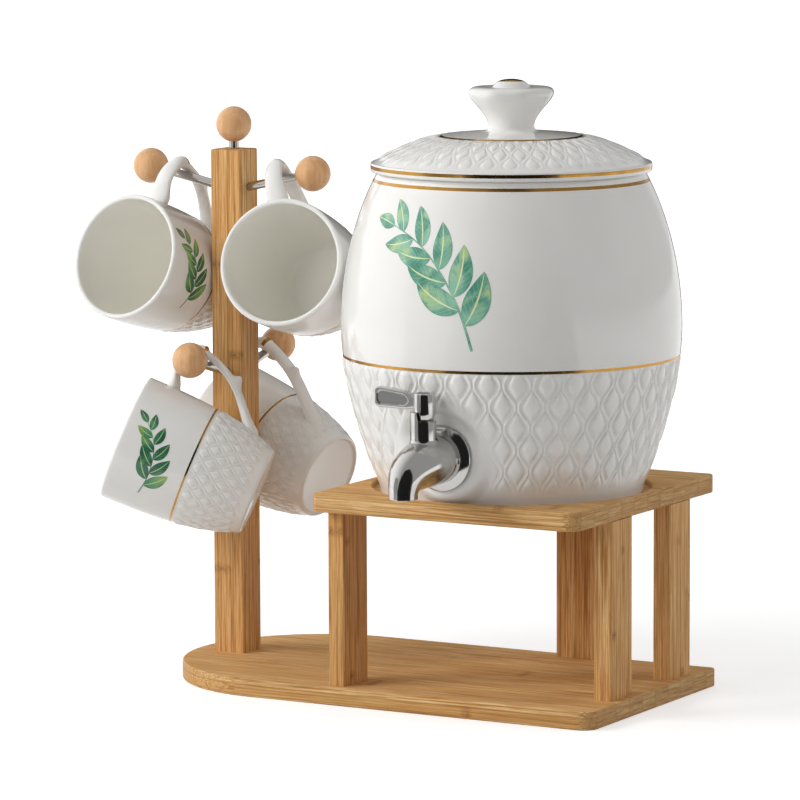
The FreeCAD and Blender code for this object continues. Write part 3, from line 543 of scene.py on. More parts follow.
# %% Build the tap's body
def tap_rings(columns):
    """Rings across the bend's direction, from the flange to the lip and up the bore."""
    way = ways(bend)[0]
    along = travelled(bend)
    grooves = sum(depth * np.exp(-((along - at) / 0.22) ** 2)
                  for depth, at in ((0.30, 1.5), (0.18, 2.6)))
    rear = 1 - ease(along, 0, 0.6)
    radius = bend_radius - grooves - 0.5 * rear
    lip = np.array([(MOUTH, OUTLET + 0.9), (9.35, OUTLET + 0.3), (9.0, OUTLET), (7.6, OUTLET),
                    (7.2, OUTLET + 0.4), (7.2, 160.0), (0, 160.0)])
    middle = np.concatenate([bend[:1], bend, np.stack([0 * lip[:, 0] - TAP_REACH, lip[:, 1]], -1)])
    way = np.concatenate([way[:1], way, np.tile([[0.0, -1.0]], (len(lip), 1))])
    size = np.concatenate([[0], radius, lip[:, 0]])[:, None]
    sideways, outward = size * np.cos(angles(columns)), size * np.sin(angles(columns))
    return np.stack([sideways, middle[:, :1] - outward * way[:, 1:],
                     middle[:, 1:] + outward * way[:, :1]], -1)


def bell_top(x, y):
    """Height of the body's upper side at a place, from the centre line's height and radius."""
    reach = bend[:, 0][::-1]
    centre = np.interp(y, reach, bend[:, 1][::-1])
    radius = np.interp(y, reach, bend_radius[::-1])
    slope = np.interp(y, reach, np.gradient(bend[:, 1], bend[:, 0] + 1e-6 * share)[::-1])
    above = np.sqrt(np.clip(radius ** 2 - x ** 2, 0, None))
    return centre + above * np.sqrt(1 + np.clip(slope, -1, 1) ** 2)


def collar_rings(columns):
    """Rows of the collar: fillet, wall, rounded top edge, stop, and down inside."""
    turn = angles(columns)
    degrees = np.degrees(turn)
    fillet = 2.6
    on_wall, on_bell = (bell_top(size * np.cos(turn), STEM[1] + size * np.sin(turn))
                        for size in (COLLAR, COLLAR + fillet))
    radius = corner([COLLAR + fillet], [COLLAR], [COLLAR], 12)
    height = corner(on_bell - 0.25, on_wall, on_wall + fillet, 12)
    rise = 5.6 * ease(degrees, 200, 208) * (1 - ease(degrees, 264, 278))
    top, plug = COLLAR_TOP + rise, COLLAR_TOP - 0.1
    rings = [(COLLAR, top - 0.5), (COLLAR - 0.12, top - 0.12), (COLLAR - 0.5, top),
             (6.9, top), (6.8, top - 0.1), (6.8, plug), (0.0, plug)]
    radius = np.concatenate([np.broadcast_to(radius, height.shape)]
                            + [np.full((1, columns), size) for size, _ in rings])
    height = np.concatenate([height] + [np.broadcast_to(level, (1, columns)) for _, level in rings])
    return spun(radius, height, turn) + STEM


def level_turned(profile, columns):
    """A turned surface about the tap's level axis, from rows of (radius, distance out)."""
    return turned(profile, columns)[..., [0, 2, 1]] * [1, -1, 1] + [0, 0, TAP_HEIGHT]


shank = [(0, 66.5), (7.0, 66.5), (7.8, 67.3), (7.8, 101.5), (0, 101.5)]
flange = [(7.9, 97.0), (21.4, 97.0), (22.0, 97.5), (22.0, 98.2), (21.6, 98.8),
          (17.2, FLANGE_FACE - 0.1), (16.4, FLANGE_FACE), (7.9, FLANGE_FACE), (7.9, 97.0)]
tap_skins = [shell(grid) for grid in (tap_rings(112), collar_rings(168), level_turned(shank, 48))]
piece("tap_polished", tap_skins, [chrome], "pot", ["tap_body"])
piece("tap_flange_polished", [shell(level_turned(flange, 128))], [chrome], "pot",
      ["tap_flange"], hard=60)

# %% [markdown]
# ## The lever
# A flat paddle turns the plug. It is cast in one with its hub, and its face is sunk and
# brushed inside a polished border. The paddle is a rounded rectangle carried from
# the hub to its tip while its height changes, with the face pushed in over the panel.
# The hub is a turned piece whose radius grows on the side that meets the stop.

# %% Lever sizes
HUB_FOOT = 200.4
LEVER_LENGTH = 35.2
LEVER_THICKNESS = 5.6
TIP_ROUND = 4.5          # the paddle narrows over this length at its tip
EDGE = 1.5               # rounding of the paddle's edges
PANEL = 9.5              # from the stem's axis to the sunk panel
BORDER = 2.6             # from the panel to the tip
print("lever reaches", round(LEVER_LENGTH, 1), "mm from the stem's axis")


# %% Build the lever
def hub_rings(columns):
    """Rows of the hub from its foot over the rounded top into the screw's recess."""
    turn = angles(columns)
    degrees = np.degrees(turn)
    thick = np.where(degrees > 200, ease(degrees, 280, 288), 1 - ease(degrees, 100, 108))
    rows = np.array([(0, 0), (5.6, 0), (6.1, 0.5), (6.1, 2.0), (6.1, 3.5), (6.1, 5.0), (6.1, 16.8),
                     (5.9, 17.3), (5.5, 17.5), (4.4, 17.5), (4.3, 17.4), (4.3, 15.8), (0, 15.8)])
    swell = np.array([0, 0.9, 1.0, 1.25, 1.75, 2.0, 2.0, 2.0, 2.0, 0, 0, 0, 0])[:, None]
    radius = rows[:, :1] + swell * thick
    height = rows[:, 1:] + HUB_FOOT + 0 * thick
    return spun(radius, height, turn) + STEM


def paddle_section():
    """A rounded rectangle's outline as weights: straight parts (y, z) and corner parts (y, z)."""
    face = np.linspace(-1, 1, 40)[1:-1]
    bow = np.linspace(0, pi / 2, 6)
    parts = []
    for quarter, (y, z) in enumerate([(1, 1), (-1, 1), (-1, -1), (1, -1)]):
        turn = quarter * pi / 2 + bow
        parts.append(np.stack([0 * bow + y, 0 * bow + z, np.cos(turn), np.sin(turn)], -1))
        if quarter % 2:
            parts.append(np.stack([0 * face + y, y * face, 0 * face + y, 0 * face], -1))
    return np.concatenate(parts)


def build_lever():
    """The lever's skins: the hub, and the paddle from inside the hub to its tip."""
    section = paddle_section()
    bow = LEVER_LENGTH - TIP_ROUND
    x = np.concatenate([np.linspace(3.0, bow, 96), np.linspace(bow, LEVER_LENGTH, 16)[1:]])
    top = np.interp(x, [3, 6, 8, 10, 12.5, 15.5, 35.2],
                    [215.8, 216.0, 216.8, 217.9, 218.8, 219.3, 221.3])
    foot = np.interp(x, [3, 6, 8, 10.5, 13, 35.2], [208.0, 207.8, 207.4, 207.0, 206.9, 207.3])
    window = np.hanning(9) / np.hanning(9).sum()
    top, foot = (np.convolve(np.pad(line, 4, mode="edge"), window, mode="valid")
                 for line in (top, foot))
    # How far a quarter circle has closed in at the tip: a large one in height, a small
    # one in thickness.
    shrink, thin = (size - np.sqrt(size ** 2 - np.clip(x - (LEVER_LENGTH - size), 0, size) ** 2)
                    for size in (TIP_ROUND, EDGE))
    half_high = (top - foot) / 2 - 0.9 * shrink
    half_thick = LEVER_THICKNESS / 2 - thin
    round_off = np.minimum(EDGE, half_thick * 0.9)
    middle = (top + foot) / 2
    y = section[:, 0] * (half_thick - round_off)[:, None] + section[:, 2] * round_off[:, None]
    z = section[:, 1] * (half_high - round_off)[:, None] + section[:, 3] * round_off[:, None]
    # How far inside the panel a point is: from its sides, its two ends and its cut corners.
    below = (half_high - 2.1)[:, None] - np.abs(z)
    begun, left = x[:, None] - PANEL, LEVER_LENGTH - BORDER - x[:, None]
    cut = 0.75 * np.minimum(begun + below - 2.6, left + below - 2.2)
    inside = np.minimum(np.minimum(begun, left), np.minimum(below, cut))
    flat = np.abs(section[:, 2]) > 0.99
    y = y - np.sign(y) * 0.7 * ease(inside, 0, 0.45) * flat
    points = capped(np.stack([-x[:, None] + 0 * y, STEM[1] + y, middle[:, None] + z], -1))
    deep = np.pad((inside > 0.5) & flat, ((1, 1), (0, 0)))
    quads = deep[:-1] & deep[1:] & np.roll(deep, -1, 1)[:-1]
    piece("lever_polished", [shell(hub_rings(144)), shell(points, np.where(quads, 1, 0))],
          [chrome, panel_steel], "lever", ["tap_lever"], hard=50)


build_lever()

# %% [markdown]
# ## The mugs
# Each mug is cast as a tapering cup with the same gold line and drops, and its handle
# is modelled on a twig: flared where it leaves the cup, with a raised lip at the
# crest, a bud for the thumb, and a thinner lower part. Cup and handle are
# worked out upright once. Then each of the four is hung: its crest hooks over a peg, and
# it tilts until its weight lies under the peg.

# %% Mug sizes
MUG_HEIGHT = 97.5
MUG_LIP = 1.7            # half the wall's thickness, and the rounding of the rim
MUG_TOP = MUG_HEIGHT - MUG_LIP
MUG_LINE = (46.2, 47.5)
FOOT_ROUND = 3.0         # height of the rounding at the foot
mug_side = bezier([(30.5, 0), (38.157, 24.7), (43.5, 38.0), (43.5, MUG_TOP)], 300)
# The handle's line: distance from the mug's axis, distance below its rim.
strap = np.array([(41.6, 18.2), (65.0, 15.8), (72.0, 23.0), (70.8, 36.0),
                  (64.3, 49.5), (54.3, 61.0), (41.8, 71.6), (31.6, 80.5)])
CREST, BUD = (73.4, MUG_HEIGHT - 27.5), (62.5, MUG_HEIGHT - 53.0)
RINGS = 150              # along the handle
print("mug", round(MUG_HEIGHT, 1), "mm tall and", round(2 * mug_side[-1, 0], 1), "mm across")


def mug_radius(height):
    """The mug's outer radius at a height above its foot."""
    return np.interp(height, mug_side[:, 1], mug_side[:, 0])


def smooth_line(points, steps):
    """A natural cubic spline through points, spaced evenly by distance."""
    at = travelled(points)
    gaps = np.diff(at)
    count = len(points)
    system, right = np.eye(count), np.zeros(points.shape)
    inner = np.arange(1, count - 1)
    system[inner, inner - 1] = gaps[:-1]
    system[inner, inner] = 2 * (gaps[:-1] + gaps[1:])
    system[inner, inner + 1] = gaps[1:]
    steps_up = np.diff(points, axis=0) / gaps[:, None]
    right[1:-1] = 6 * np.diff(steps_up, axis=0)
    curve = np.linalg.solve(system, right)
    where = np.linspace(0, at[-1], steps)
    span = np.clip(np.searchsorted(at, where, side="right") - 1, 0, count - 2)
    width = gaps[span][:, None]
    ahead, back = (at[span + 1] - where)[:, None], (where - at[span])[:, None]
    return ((curve[span] * ahead ** 3 + curve[span + 1] * back ** 3) / (6 * width)
            + (points[span] / width - curve[span] * width / 6) * ahead
            + (points[span + 1] / width - curve[span + 1] * width / 6) * back)


# %% Shape of one mug
def cup():
    """The cup's skins: foot ring, side with relief, plain side, rim, inside and floor."""
    height, turn = np.meshgrid(np.linspace(FOOT_ROUND, MUG_LINE[0], 80), angles(480), indexing="ij")
    fade = ease(height, 5, 9) * (1 - ease(height, MUG_LINE[0] - 3.5, MUG_LINE[0] - 1.5))
    relief = drops(turn, height - 40.5, cells=24, row=6.4, ridge=0.50, drop=0.72)
    side = spun(mug_radius(height) + fade * relief - 0.25, height, turn)
    low = mug_radius(FOOT_ROUND) - 0.25
    foot = np.concatenate([
        [(0, 1.6), (26.6, 1.6), (27.4, 1.2), (27.8, 0.3), (28.2, 0), (28.6, 0)],
        corner((28.6, 0), (30.4, 0), (low, FOOT_ROUND), 8)[1:]])
    heights = np.concatenate([np.linspace(*MUG_LINE, 3), np.linspace(MUG_LINE[1], MUG_TOP, 20)[1:]])
    wall = np.stack([mug_radius(heights), heights], -1)
    bow = np.linspace(0, pi, 11)[1:]
    rim = wall[-1] + MUG_LIP * np.stack([np.cos(bow) - 1, np.sin(bow)], -1)
    down = np.linspace(MUG_TOP, 7.5, 24)[1:]
    inside = np.stack([mug_radius(down) - 2 * MUG_LIP, down], -1)
    last = inside[-1]
    floor = corner(last, (last[0] - 1.4, 3.6), (last[0] - 6, 3.6), 7)[1:]
    upper = np.concatenate([wall, rim, inside, floor, [(14, 3.7), (0, 3.7)]])
    finish = np.zeros(len(upper) - 1)
    finish[:2] = 1
    finish[len(wall) + 7:] = 3
    return chain((turned(foot, 120), [0, 0, 0, 2, 2] + [0] * 7), (side, 0),
                 (turned(upper, 120), finish))


def twig():
    """The handle: an oval ring carried along the strap's line, with flared roots, a lip
    that rises slowly and drops off behind the crest, and a bud below it. Towards each
    end, the rings round off and are drawn into the middle of the cup's wall."""
    path = smooth_line(np.stack([strap[:, 0], MUG_HEIGHT - strap[:, 1]], -1), RINGS)
    out = ways(path)[1]
    out *= np.sign(out[RINGS // 2, 0])
    at = np.linspace(0, 1, RINGS)
    length = travelled(path)[-1]
    start, end = at * length, (1 - at) * length
    crest, bud = (at[np.argmin(np.linalg.norm(path - spot, axis=1))] for spot in (CREST, BUD))
    wide = (5.9 + 5.0 * np.exp(-start / 8.0) - 0.8 * ease(at, crest, crest + 0.12)
            + 4.0 * np.exp(-end / 9.0))
    rounding = 1 - np.clip((np.minimum(start, end) - 1.2) / 8, 0, 1)
    wide *= 0.3 + 0.7 * np.sqrt(1 - rounding ** 2)
    thick = 2.7 + 3.2 * np.exp(-start / 6.0) + 4.0 * np.exp(-end / 9.0)
    # Each of the two humps rises over one length and falls off over another.
    humps = ((crest, 2.6, 0.075, 0.018), (bud, 4.2, 0.020, 0.045))
    lip, knuckle = (high * np.exp(-((at - spot) / np.where(at < spot, before, after)) ** 2)
                    for spot, high, before, after in humps)
    turn = angles(40)
    across = wide[:, None] * np.cos(turn)
    outward = thick[:, None] * np.sin(turn)
    crown = np.clip(np.sin(turn), 0, 1) ** 2
    outward = outward + (lip[:, None] * crown + knuckle[:, None] * crown ** 2)
    points = np.stack([path[:, :1] + outward * out[:, :1], across,
                       path[:, 1:] + outward * out[:, 1:]], -1)
    reach = np.hypot(points[..., 0], points[..., 1])
    buried = mug_radius(points[..., 2]) - MUG_LIP
    drawn_in = 1 - ease(np.minimum(start, end), 0, 5)[:, None]
    grown = np.maximum(reach + drawn_in * (buried - reach), buried) / reach
    points[..., :2] *= grown[..., None]
    on_lip = (np.abs(at - crest - 0.004) < 0.016)[:, None] & (np.sin(turn) > 0.55)
    gilded = np.pad(on_lip, ((1, 1), (0, 0)))
    return shell(capped(points), np.where(gilded[:-1] & gilded[1:], 1, 0))


# %% Hang the mugs
# Degrees of heading, lean and tilt, and the hook's place in the mug: distance from its
# axis and height above its foot, in millimetres.
hanging = {
    "upper_left": (7.3, 11.0, 16.954, (66.008, 66.131)),
    "upper_right": (-9.0, 15.5, 15.748, (64.859, 62.982)),
    "lower_front": (66.0, 13.5, 22.491, (65.626, 67.050)),
    "lower_back": (95.6, 12.5, 19.819, (66.698, 69.852)),
}
pegs = {joint["child"]: joint for joint in frame["joints"]}


def hang(points, arm):
    """Points of an upright mug, turned and moved onto its peg."""
    heading, lean, tilt, hook = hanging[arm]
    heading, lean, tilt = np.radians([heading, lean, tilt])
    joint = pegs[arm + "_mug"]
    away = np.array([np.sin(heading), np.cos(heading), 0])
    aside = np.array([np.cos(heading), -np.sin(heading), 0])
    aside = -aside if aside @ joint["axis"] > 0 else aside
    up = np.array([0, 0, 1])
    axis = up * np.sin(tilt) - away * np.cos(tilt)
    handle = (up * np.cos(tilt) + away * np.sin(tilt)) * np.cos(lean) + aside * np.sin(lean)
    turned_axes = np.stack([handle, np.cross(axis, handle), axis])
    return (points - [hook[0], 0, hook[1]]) @ turned_axes + np.array(joint["pos_m"]) / MM


one_mug = [*cup(), twig()]
for arm in hanging:
    mug = arm + "_mug"
    hung = [dict(skin, points=hang(skin["points"], arm)) for skin in one_mug]
    piece(mug + "_glazed", hung, [glaze, gold, clay, cream], mug, [mug])

# %% [markdown]
# ## The painted sprig
# The pot and two of the mugs carry a printed transfer of leaves, fired onto the glaze. A
# transfer is a film a tenth of a millimetre thick, so each leaf here is its own thin
# sheet laid on the wall: an outline that swells from stalk to tip, bent along its
# midrib and wrapped onto the piece. Its finish reads the leaf's own map, with a pale vein
# down the middle, finer side veins, and washes from blue green to yellow green.


# %% Leaf and stalk finishes
def leaf_green(name, dark, light, warm, vein):
    """Ceramic colours screened on a film and fired onto the glaze. The eye sees flat
    washes of green under gloss, yellower towards the tip, with pale veins and a dark
    edge. In the leaf's map, U crosses the leaf and V runs from its stalk to its tip."""
    material, shader, add, place = new_material(name)
    own = add("SeparateXYZ", [add("UVMap", uv_map="surface")[0]])
    wash = add("TexNoise", {"Vector": place, "Scale": 70.0, "Detail": 4.0, "Distortion": 0.6})[0]
    from_middle = add("Math", [own[0], 0.5], operation="SUBTRACT")[0]
    off_rib = add("Math", [from_middle], operation="ABSOLUTE")[0]
    lit = add("MapRange", [wash, 0.50, 0.62])[0]
    tipwards = add("MapRange", [own[1], 0.2, 0.8])[0]
    rise = add("Math", [own[1], 8.0], operation="MULTIPLY")[0]
    slant = add("Math", [off_rib, -4.0, rise], operation="MULTIPLY_ADD")[0]
    from_vein = add("Math", [slant, 0.5], operation="PINGPONG")[0]
    sunny = add("Math", [lit, tipwards], operation="MULTIPLY")[0]
    # Over the dark wash: light wash, sunny tip, side veins, edge and rib.
    green = layered(add, dark, [
        (wash, 0.38, 0.62, 0, 1, light), (sunny, 0, 1, 0, 1, warm),
        (from_vein, 0, 0.08, 0.35, 0, vein), (off_rib, 0.44, 0.5, 0, 0.6, dark),
        (off_rib, 0.022, 0.045, 1, 0, vein)])
    feed(shader, {"Base Color": green, "Roughness": 0.14, "IOR": 1.5})
    return material


pot_leaf = leaf_green("printed leaf, light", "#4F957F", "#8CC5AE", "#B9D08C", "#E6ECB8")
mug_leaf = leaf_green("printed leaf, deep", "#1F5F48", "#3F8F6C", "#8DB45F", "#CFE09A")
print("leaves", pot_leaf.name, "and", mug_leaf.name)


# %% Lay out leaves on a wall
FILM = 0.12              # how far the printed film lies off the glaze


def leaf(place, start, heading, length, width, curl, rows=22, columns=9):
    """A leaf's sheet. Its rib leaves `start` (along the wall, up the wall) at a heading in
    degrees and curls; its half width is a sine swollen towards the stalk. `place` lays
    flat points on the wall."""
    along = np.linspace(0, 1, rows)[:, None]
    sideways = np.linspace(1, -1, columns)[None]
    aim = radians(heading) + radians(curl) * along
    step = length / (rows - 1)
    rib = np.array(start) + np.concatenate([[(0, 0)], np.cumsum(
        step * np.concatenate([np.cos(aim), np.sin(aim)], 1)[1:], axis=0)])
    half = width / 2 * np.sin(pi * along ** 0.82) ** 0.85
    flat = rib[:, None] + (half * sideways)[..., None] * np.stack([-np.sin(aim), np.cos(aim)], -1)
    return shell(place(flat), wrap=False)


def stalk(place, points, width, steps=60):
    """A narrow band along a smooth line of flat points, thinning towards its end."""
    line = smooth_line(points, steps)
    half = width / 2 * np.linspace(1, 0.35, steps)[:, None] * [1, 0, -1]
    return shell(place(line[:, None] + half[..., None] * ways(line)[1][:, None]), wrap=False)


def sprig(place, size):
    """An arching branch with oval leaves in turn on either side, and one at its tip."""
    branch = np.array([(22, -40), (15, -18), (3, 3), (-15, 20), (-37, 29)]) * size
    line = smooth_line(branch, 200)
    way = ways(line)[0]
    heading = np.degrees(np.arctan2(way[:, 1], way[:, 0]))
    sheets = [stalk(place, branch, 1.5 * size)]
    for number, at in enumerate(np.linspace(0.16, 0.90, 9)):
        spot = int(at * 199)
        turn = 52 if number % 2 else -52
        span = (36 - 16 * at) * size
        aim = heading[spot] + turn
        sheets.append(leaf(place, line[spot], aim, span, 0.46 * span, -0.55 * turn))
    sheets.append(leaf(place, line[-1], heading[-1], 19 * size, 8.5 * size, 12))
    return sheets


def on_wall(radius_at, middle, height, girth, up=0, arm=None):
    """Lays flat points on a turned wall, a film's thickness off the glaze. Their origin
    comes at the angle `middle` and at `height`, and they are turned by `up`, both angles
    in degrees. `girth` is the wall's radius there. A mug's points are then hung."""
    def place(flat):
        x, y = flat[..., 0], flat[..., 1]
        across = x * np.cos(radians(up)) - y * np.sin(radians(up))
        level = height + x * np.sin(radians(up)) + y * np.cos(radians(up))
        points = spun(radius_at(level) + FILM, level, radians(middle) + across / girth)
        return hang(points, arm) if arm else points
    return place


piece("pot_sprig", sprig(on_wall(pot_radius, -88, 290, 108), 1.12), [pot_leaf], "pot",
      outward=False)
for arm, middle, height, up in (("upper_left", -86, 72, -112), ("lower_front", -106, 73, -118)):
    sheets = sprig(on_wall(mug_radius, middle, height, 43, up, arm), 0.56)
    piece(arm + "_mug_sprig", sheets, [mug_leaf], arm + "_mug", outward=False)

# %% [markdown]
# ## Bamboo
# Bamboo board is glued up from split and planed strips. Each strip has its own shade, fine
# fibres along it, a hairline of glue beside it, and now and then a node, where the
# stem had a joint: a short darker band with swirled fibres. The finish works in
# strip numbers across the grain and uses them to pick a shade and to place the nodes.


# %% Bamboo finish
def bamboo(name, quarter_turn, strip, ply, spacing, dark, pale, shade, streaked):
    """Split bamboo glued into board, planed, sanded and oiled. The eye sees lengthwise
    fibres, a shade for each strip, and hardly any gloss. Strips run along X, or along Z
    with a quarter turn about Y. Strip and ply are their two sizes across the grain, and
    spacing is the distance between the joints of the stem, all in millimetres. Streaked
    is how strong the dark streaks are."""
    material, shader, add, place = new_material(name)
    turned_by = (0, radians(quarter_turn), 0)
    place = add("Mapping", {"Vector": place, "Rotation": turned_by})[0]
    facing = add("Mapping", {"Vector": add("TexCoord")["Normal"], "Rotation": turned_by})[0]
    axes = add("SeparateXYZ", [place])
    # Each strip's number across and deep picks its chance values. A glue line lies where
    # either count is whole, and the distance from it is in metres.
    numbers, from_line = [], []
    for axis, size in ((1, strip * MM), (2, ply * MM)):
        count = add("Math", [axes[axis], 1 / size, 1 / size], operation="MULTIPLY_ADD")[0]
        numbers.append(add("Math", [count], operation="FLOOR")[0])
        beside = add("Math", [count, 0.5], operation="PINGPONG")[0]
        from_line.append(add("Math", [beside, size], operation="MULTIPLY")[0])
    chance = add("TexWhiteNoise", {"Vector": add("CombineXYZ", numbers)[0]}, noise_dimensions="2D")
    from_glue = add("Math", [from_line[0], from_line[1]], operation="MINIMUM")[0]
    # Fibres are near 0.15 mm wide. They are drawn 0.8 mm wide, so that they show, and
    # fifty times as long. A sawn end shows the plies' edges instead, 17 mm long.
    end_x = add("SeparateXYZ", [facing])[0]
    end_face = add("Math", [end_x], operation="ABSOLUTE")[0]
    at_end = add("MapRange", [end_face, 0.6, 0.8])[0]
    along = add("Mapping", {"Vector": place, "Scale": (0.020, 1, 1)})[0]
    sawn = add("Mapping", {"Vector": place, "Scale": (1, 0.05, 1)})[0]
    drawn = add("Mix", {0: at_end, 4: along, 5: sawn}, data_type="VECTOR")[1]
    shifted = add("VectorMath", [drawn, chance["Color"]], operation="ADD")[0]
    fibre, streak, cloud = (
        add("TexNoise", {"Vector": shifted, "Scale": scale, "Detail": detail, "Roughness": rough})[0]
        for scale, detail, rough in ((1200.0, 4.0, 0.7), (420.0, 4.0, 0.65), (70.0, 2.0, 0.5)))
    # Joints of the stem: a narrow uneven band where the distance along a strip comes
    # round to the middle of its spacing, in some strips only.
    begin = add("Math", [chance["Value"], 7.31], operation="MULTIPLY")[0]
    run = add("Math", [axes[0], 1 / (spacing * MM), begin], operation="MULTIPLY_ADD")[0]
    turn = add("Math", [run], operation="FRACT")[0]
    past = add("Math", [turn, 0.5], operation="SUBTRACT")[0]
    from_joint = add("Math", [past], operation="ABSOLUTE")[0]
    swirl = add("TexNoise", {"Vector": place, "Scale": 300.0, "Detail": 4.0, "Distortion": 1.2})[0]
    uneven = add("Math", [swirl, 0.02, from_joint], operation="MULTIPLY_ADD")[0]
    band = add("MapRange", [uneven, 0.012, 0.032, 1.0, 0.0])[0]
    has_joint = add("MapRange", [chance["Value"], 0.30, 0.65])[0]
    joint = add("Math", [band, has_joint], operation="MULTIPLY")[0]
    swirled = add("MapRange", [swirl, 0.35, 0.60, 0.1, 0.7])[0]
    marked = add("Math", [joint, swirled], operation="MULTIPLY")[0]
    # The tone, from the fibres up: strip, cloud, streaks, joints, glue lines and sawn ends.
    tone = layered(add, dark, [
        (fibre, 0.38, 0.62, 0, 1, pale), (chance["Value"], 0, 1, 0, 0.45, shade),
        (cloud, 0.45, 0.75, 0, 0.45, shade), (streak, 0.52, 0.66, 0, streaked, "#965A24"),
        (marked, 0, 1, 0, 1, "#7E4A1E"), (from_glue, 0, 0.6 * MM, 0.45, 0, "#8A5826"),
        (at_end, 0, 1, 0, 0.30, "#9A7C58")])
    gloss = add("MapRange", [fibre, 0.3, 0.7, 0.48, 0.62])[0]
    bump = add("Bump", {"Height": fibre, "Strength": 0.12, "Distance": 0.1 * MM})[0]
    feed(shader, {"Base Color": tone, "Roughness": gloss, "Normal": bump, "IOR": 1.46,
                  "Specular IOR Level": 0.2})
    return material


# %% Turned wood and rubber finishes
def turned_wood():
    """Beech-like wood, turned on a lathe, sanded and varnished. The eye sees faint rings,
    short flecks and a satin glint."""
    material, shader, add, place = new_material("turned beech")
    tilt, drawn_out = (0.4, 0.9, 0.3), (1, 1, 0.12)
    tilted = add("Mapping", {"Vector": place, "Rotation": tilt, "Scale": drawn_out})[0]
    rings = add("TexNoise", {"Vector": tilted, "Scale": 260.0, "Detail": 4.0, "Distortion": 0.8})[0]
    flecks = add("TexNoise", {"Vector": tilted, "Scale": 2200.0, "Detail": 2.0})[0]
    tone = layered(add, "#D59F69", [(rings, 0.30, 0.70, 0, 1, "#E9BA8C"),
                                    (flecks, 0.60, 0.75, 0, 0.4, "#B37F4C")])
    feed(shader, {"Base Color": tone, "Roughness": 0.34, "IOR": 1.46})
    return material


def silicone():
    """Moulded silicone rubber. The eye sees an even milky white with a dull sheen and
    the mould's faint grain, about 1 mm long."""
    return mottled("moulded silicone", 900.0, {"Roughness": 0.55, "IOR": 1.41},
                   ("#E9E9E6", "#DDDDD9"))


board = bamboo("bamboo board", 0, 19.0, 6.3, 236.0, "#B87E3C", "#F4D19A", "#C99655", 0.55)
upright = bamboo("bamboo upright", 90, 5.9, 19.0, 210.0, "#BA7C3A", "#FAD399", "#CD9657", 0.75)
light_wood = turned_wood()
rubber = silicone()
print("woods", board.name, upright.name, light_wood.name)

# %% Dress the solids that stay
kept = {
    board: ["base_board", "stand_top"],
    upright: ["front_left_leg", "front_right_leg", "back_right_leg", "back_leg", "mug_post"],
    light_wood: ["top_ball", "top_dowels"] + [arm + "_ball" for arm in hanging],
    peg_steel: ["top_stem"] + [arm + "_peg" for arm in hanging],
    dark_steel: ["leg_screws", "post_screws", "lever_screw"],
    chrome: ["lock_nut", "valve_plug"],
    rubber: ["outer_washer", "inner_washer", "valve_seal"],
}
for finish, names in kept.items():
    for name in names:
        mesh = frame["nodes"][name].data
        mesh.materials.clear()
        mesh.materials.append(finish)
    print(finish.name, len(names), "nodes")

# %% [markdown]
# ## Floor, light and camera
# The set stands on a plain white floor. The strongest of four soft lamps is at the front
# left, and weaker ones at the front, the right and the back fill its shadows, with a
# dim sky. Shiny metal shows whatever surrounds it, so felt cards stand where a
# studio's would, seen only in reflections. The dark ones draw the bands that make
# plating look like plating, and the grey one dulls the faces that look towards it.

# %% Floor
# Matt white lacquer. The floor glows for the camera and in mirrors only, more where it
# is far, so that it looks white there and still shows the shadow of the set.
studio_floor, floor_shader, add, place = new_material("matt white floor")
feed(floor_shader, {"Base Color": "#DCDCDC", "Roughness": 0.9, "Specular IOR Level": 0.1})
rays = add("LightPath")
seen = add("Math", [rays["Is Camera Ray"], rays["Is Glossy Ray"]], operation="MAXIMUM")[0]
distance = add("VectorMath", [place], operation="LENGTH")["Value"]
far_glow = add("MapRange", [distance, 0.4, 2.5, 0.52, 1.0])[0]
lift = add("Math", [seen, far_glow], operation="MULTIPLY")[0]
glow = add("Emission", {"Strength": lift})[0]
both = add("AddShader", [floor_shader.outputs[0], glow])[0]
feed(studio_floor.node_tree.nodes["Material Output"], {"Surface": both})


def stage_sheet(name, corners, finish):
    """A flat sheet of the studio that isn't part of the object."""
    mesh = bpy.data.meshes.new(name)
    mesh.from_pydata(corners, [], [(0, 1, 2, 3)])
    mesh.materials.append(finish)
    made = put(name, mesh)
    return made


stage_sheet("studio_floor", [(-20, -20, 0), (20, -20, 0), (20, 20, 0), (-20, 20, 0)], studio_floor)
print("floor", studio_floor.name)

# %% Cards
def felt(name, low, high):
    """Pressed wool felt: quite matt, with a pile that is too fine to show in a mirror."""
    surface = {"Roughness": 1.0, "Specular IOR Level": 0.0}
    return mottled(name, 800.0, surface, (low, high), detail=2.0)


def towards(compass, rise=0):
    """The unit direction at a compass angle and a rise, both in degrees."""
    turn, up = np.radians([compass, rise])
    return np.array([np.cos(up) * np.cos(turn), np.cos(up) * np.sin(turn), np.sin(up)])


def card(name, finish, compass, near, far, width, height):
    """A card that leans away from the pot: its foot is `near` to the pot's axis and its
    top `far` from it, at a compass angle. Only reflections see it."""
    sideways = towards(compass + 90) * width / 2
    foot = towards(compass) * near + [0, 0, 0.004]
    top = towards(compass) * far + [0, 0, height]
    corners = [foot - sideways, foot + sideways, top + sideways, top - sideways]
    made = stage_sheet(name, [tuple(c) for c in corners], finish)
    made.visible_camera = made.visible_diffuse = made.visible_shadow = False
    print(name, width, "m wide at", compass, "degrees")


black_felt = felt("black felt", "#2A2A2A", "#343434")
grey_felt = felt("grey felt", "#D6D6D6", "#DEDEDE")
# Compass angle in degrees, then near, far, width and height in metres.
card("dark_card_front", black_felt, -62, 0.42, 1.39, 0.85, 2.0)
card("dark_card_back", black_felt, 119, 1.2, 1.35, 0.85, 1.4)
card("grey_card_left", grey_felt, -119, 0.75, 0.95, 0.42, 0.6)


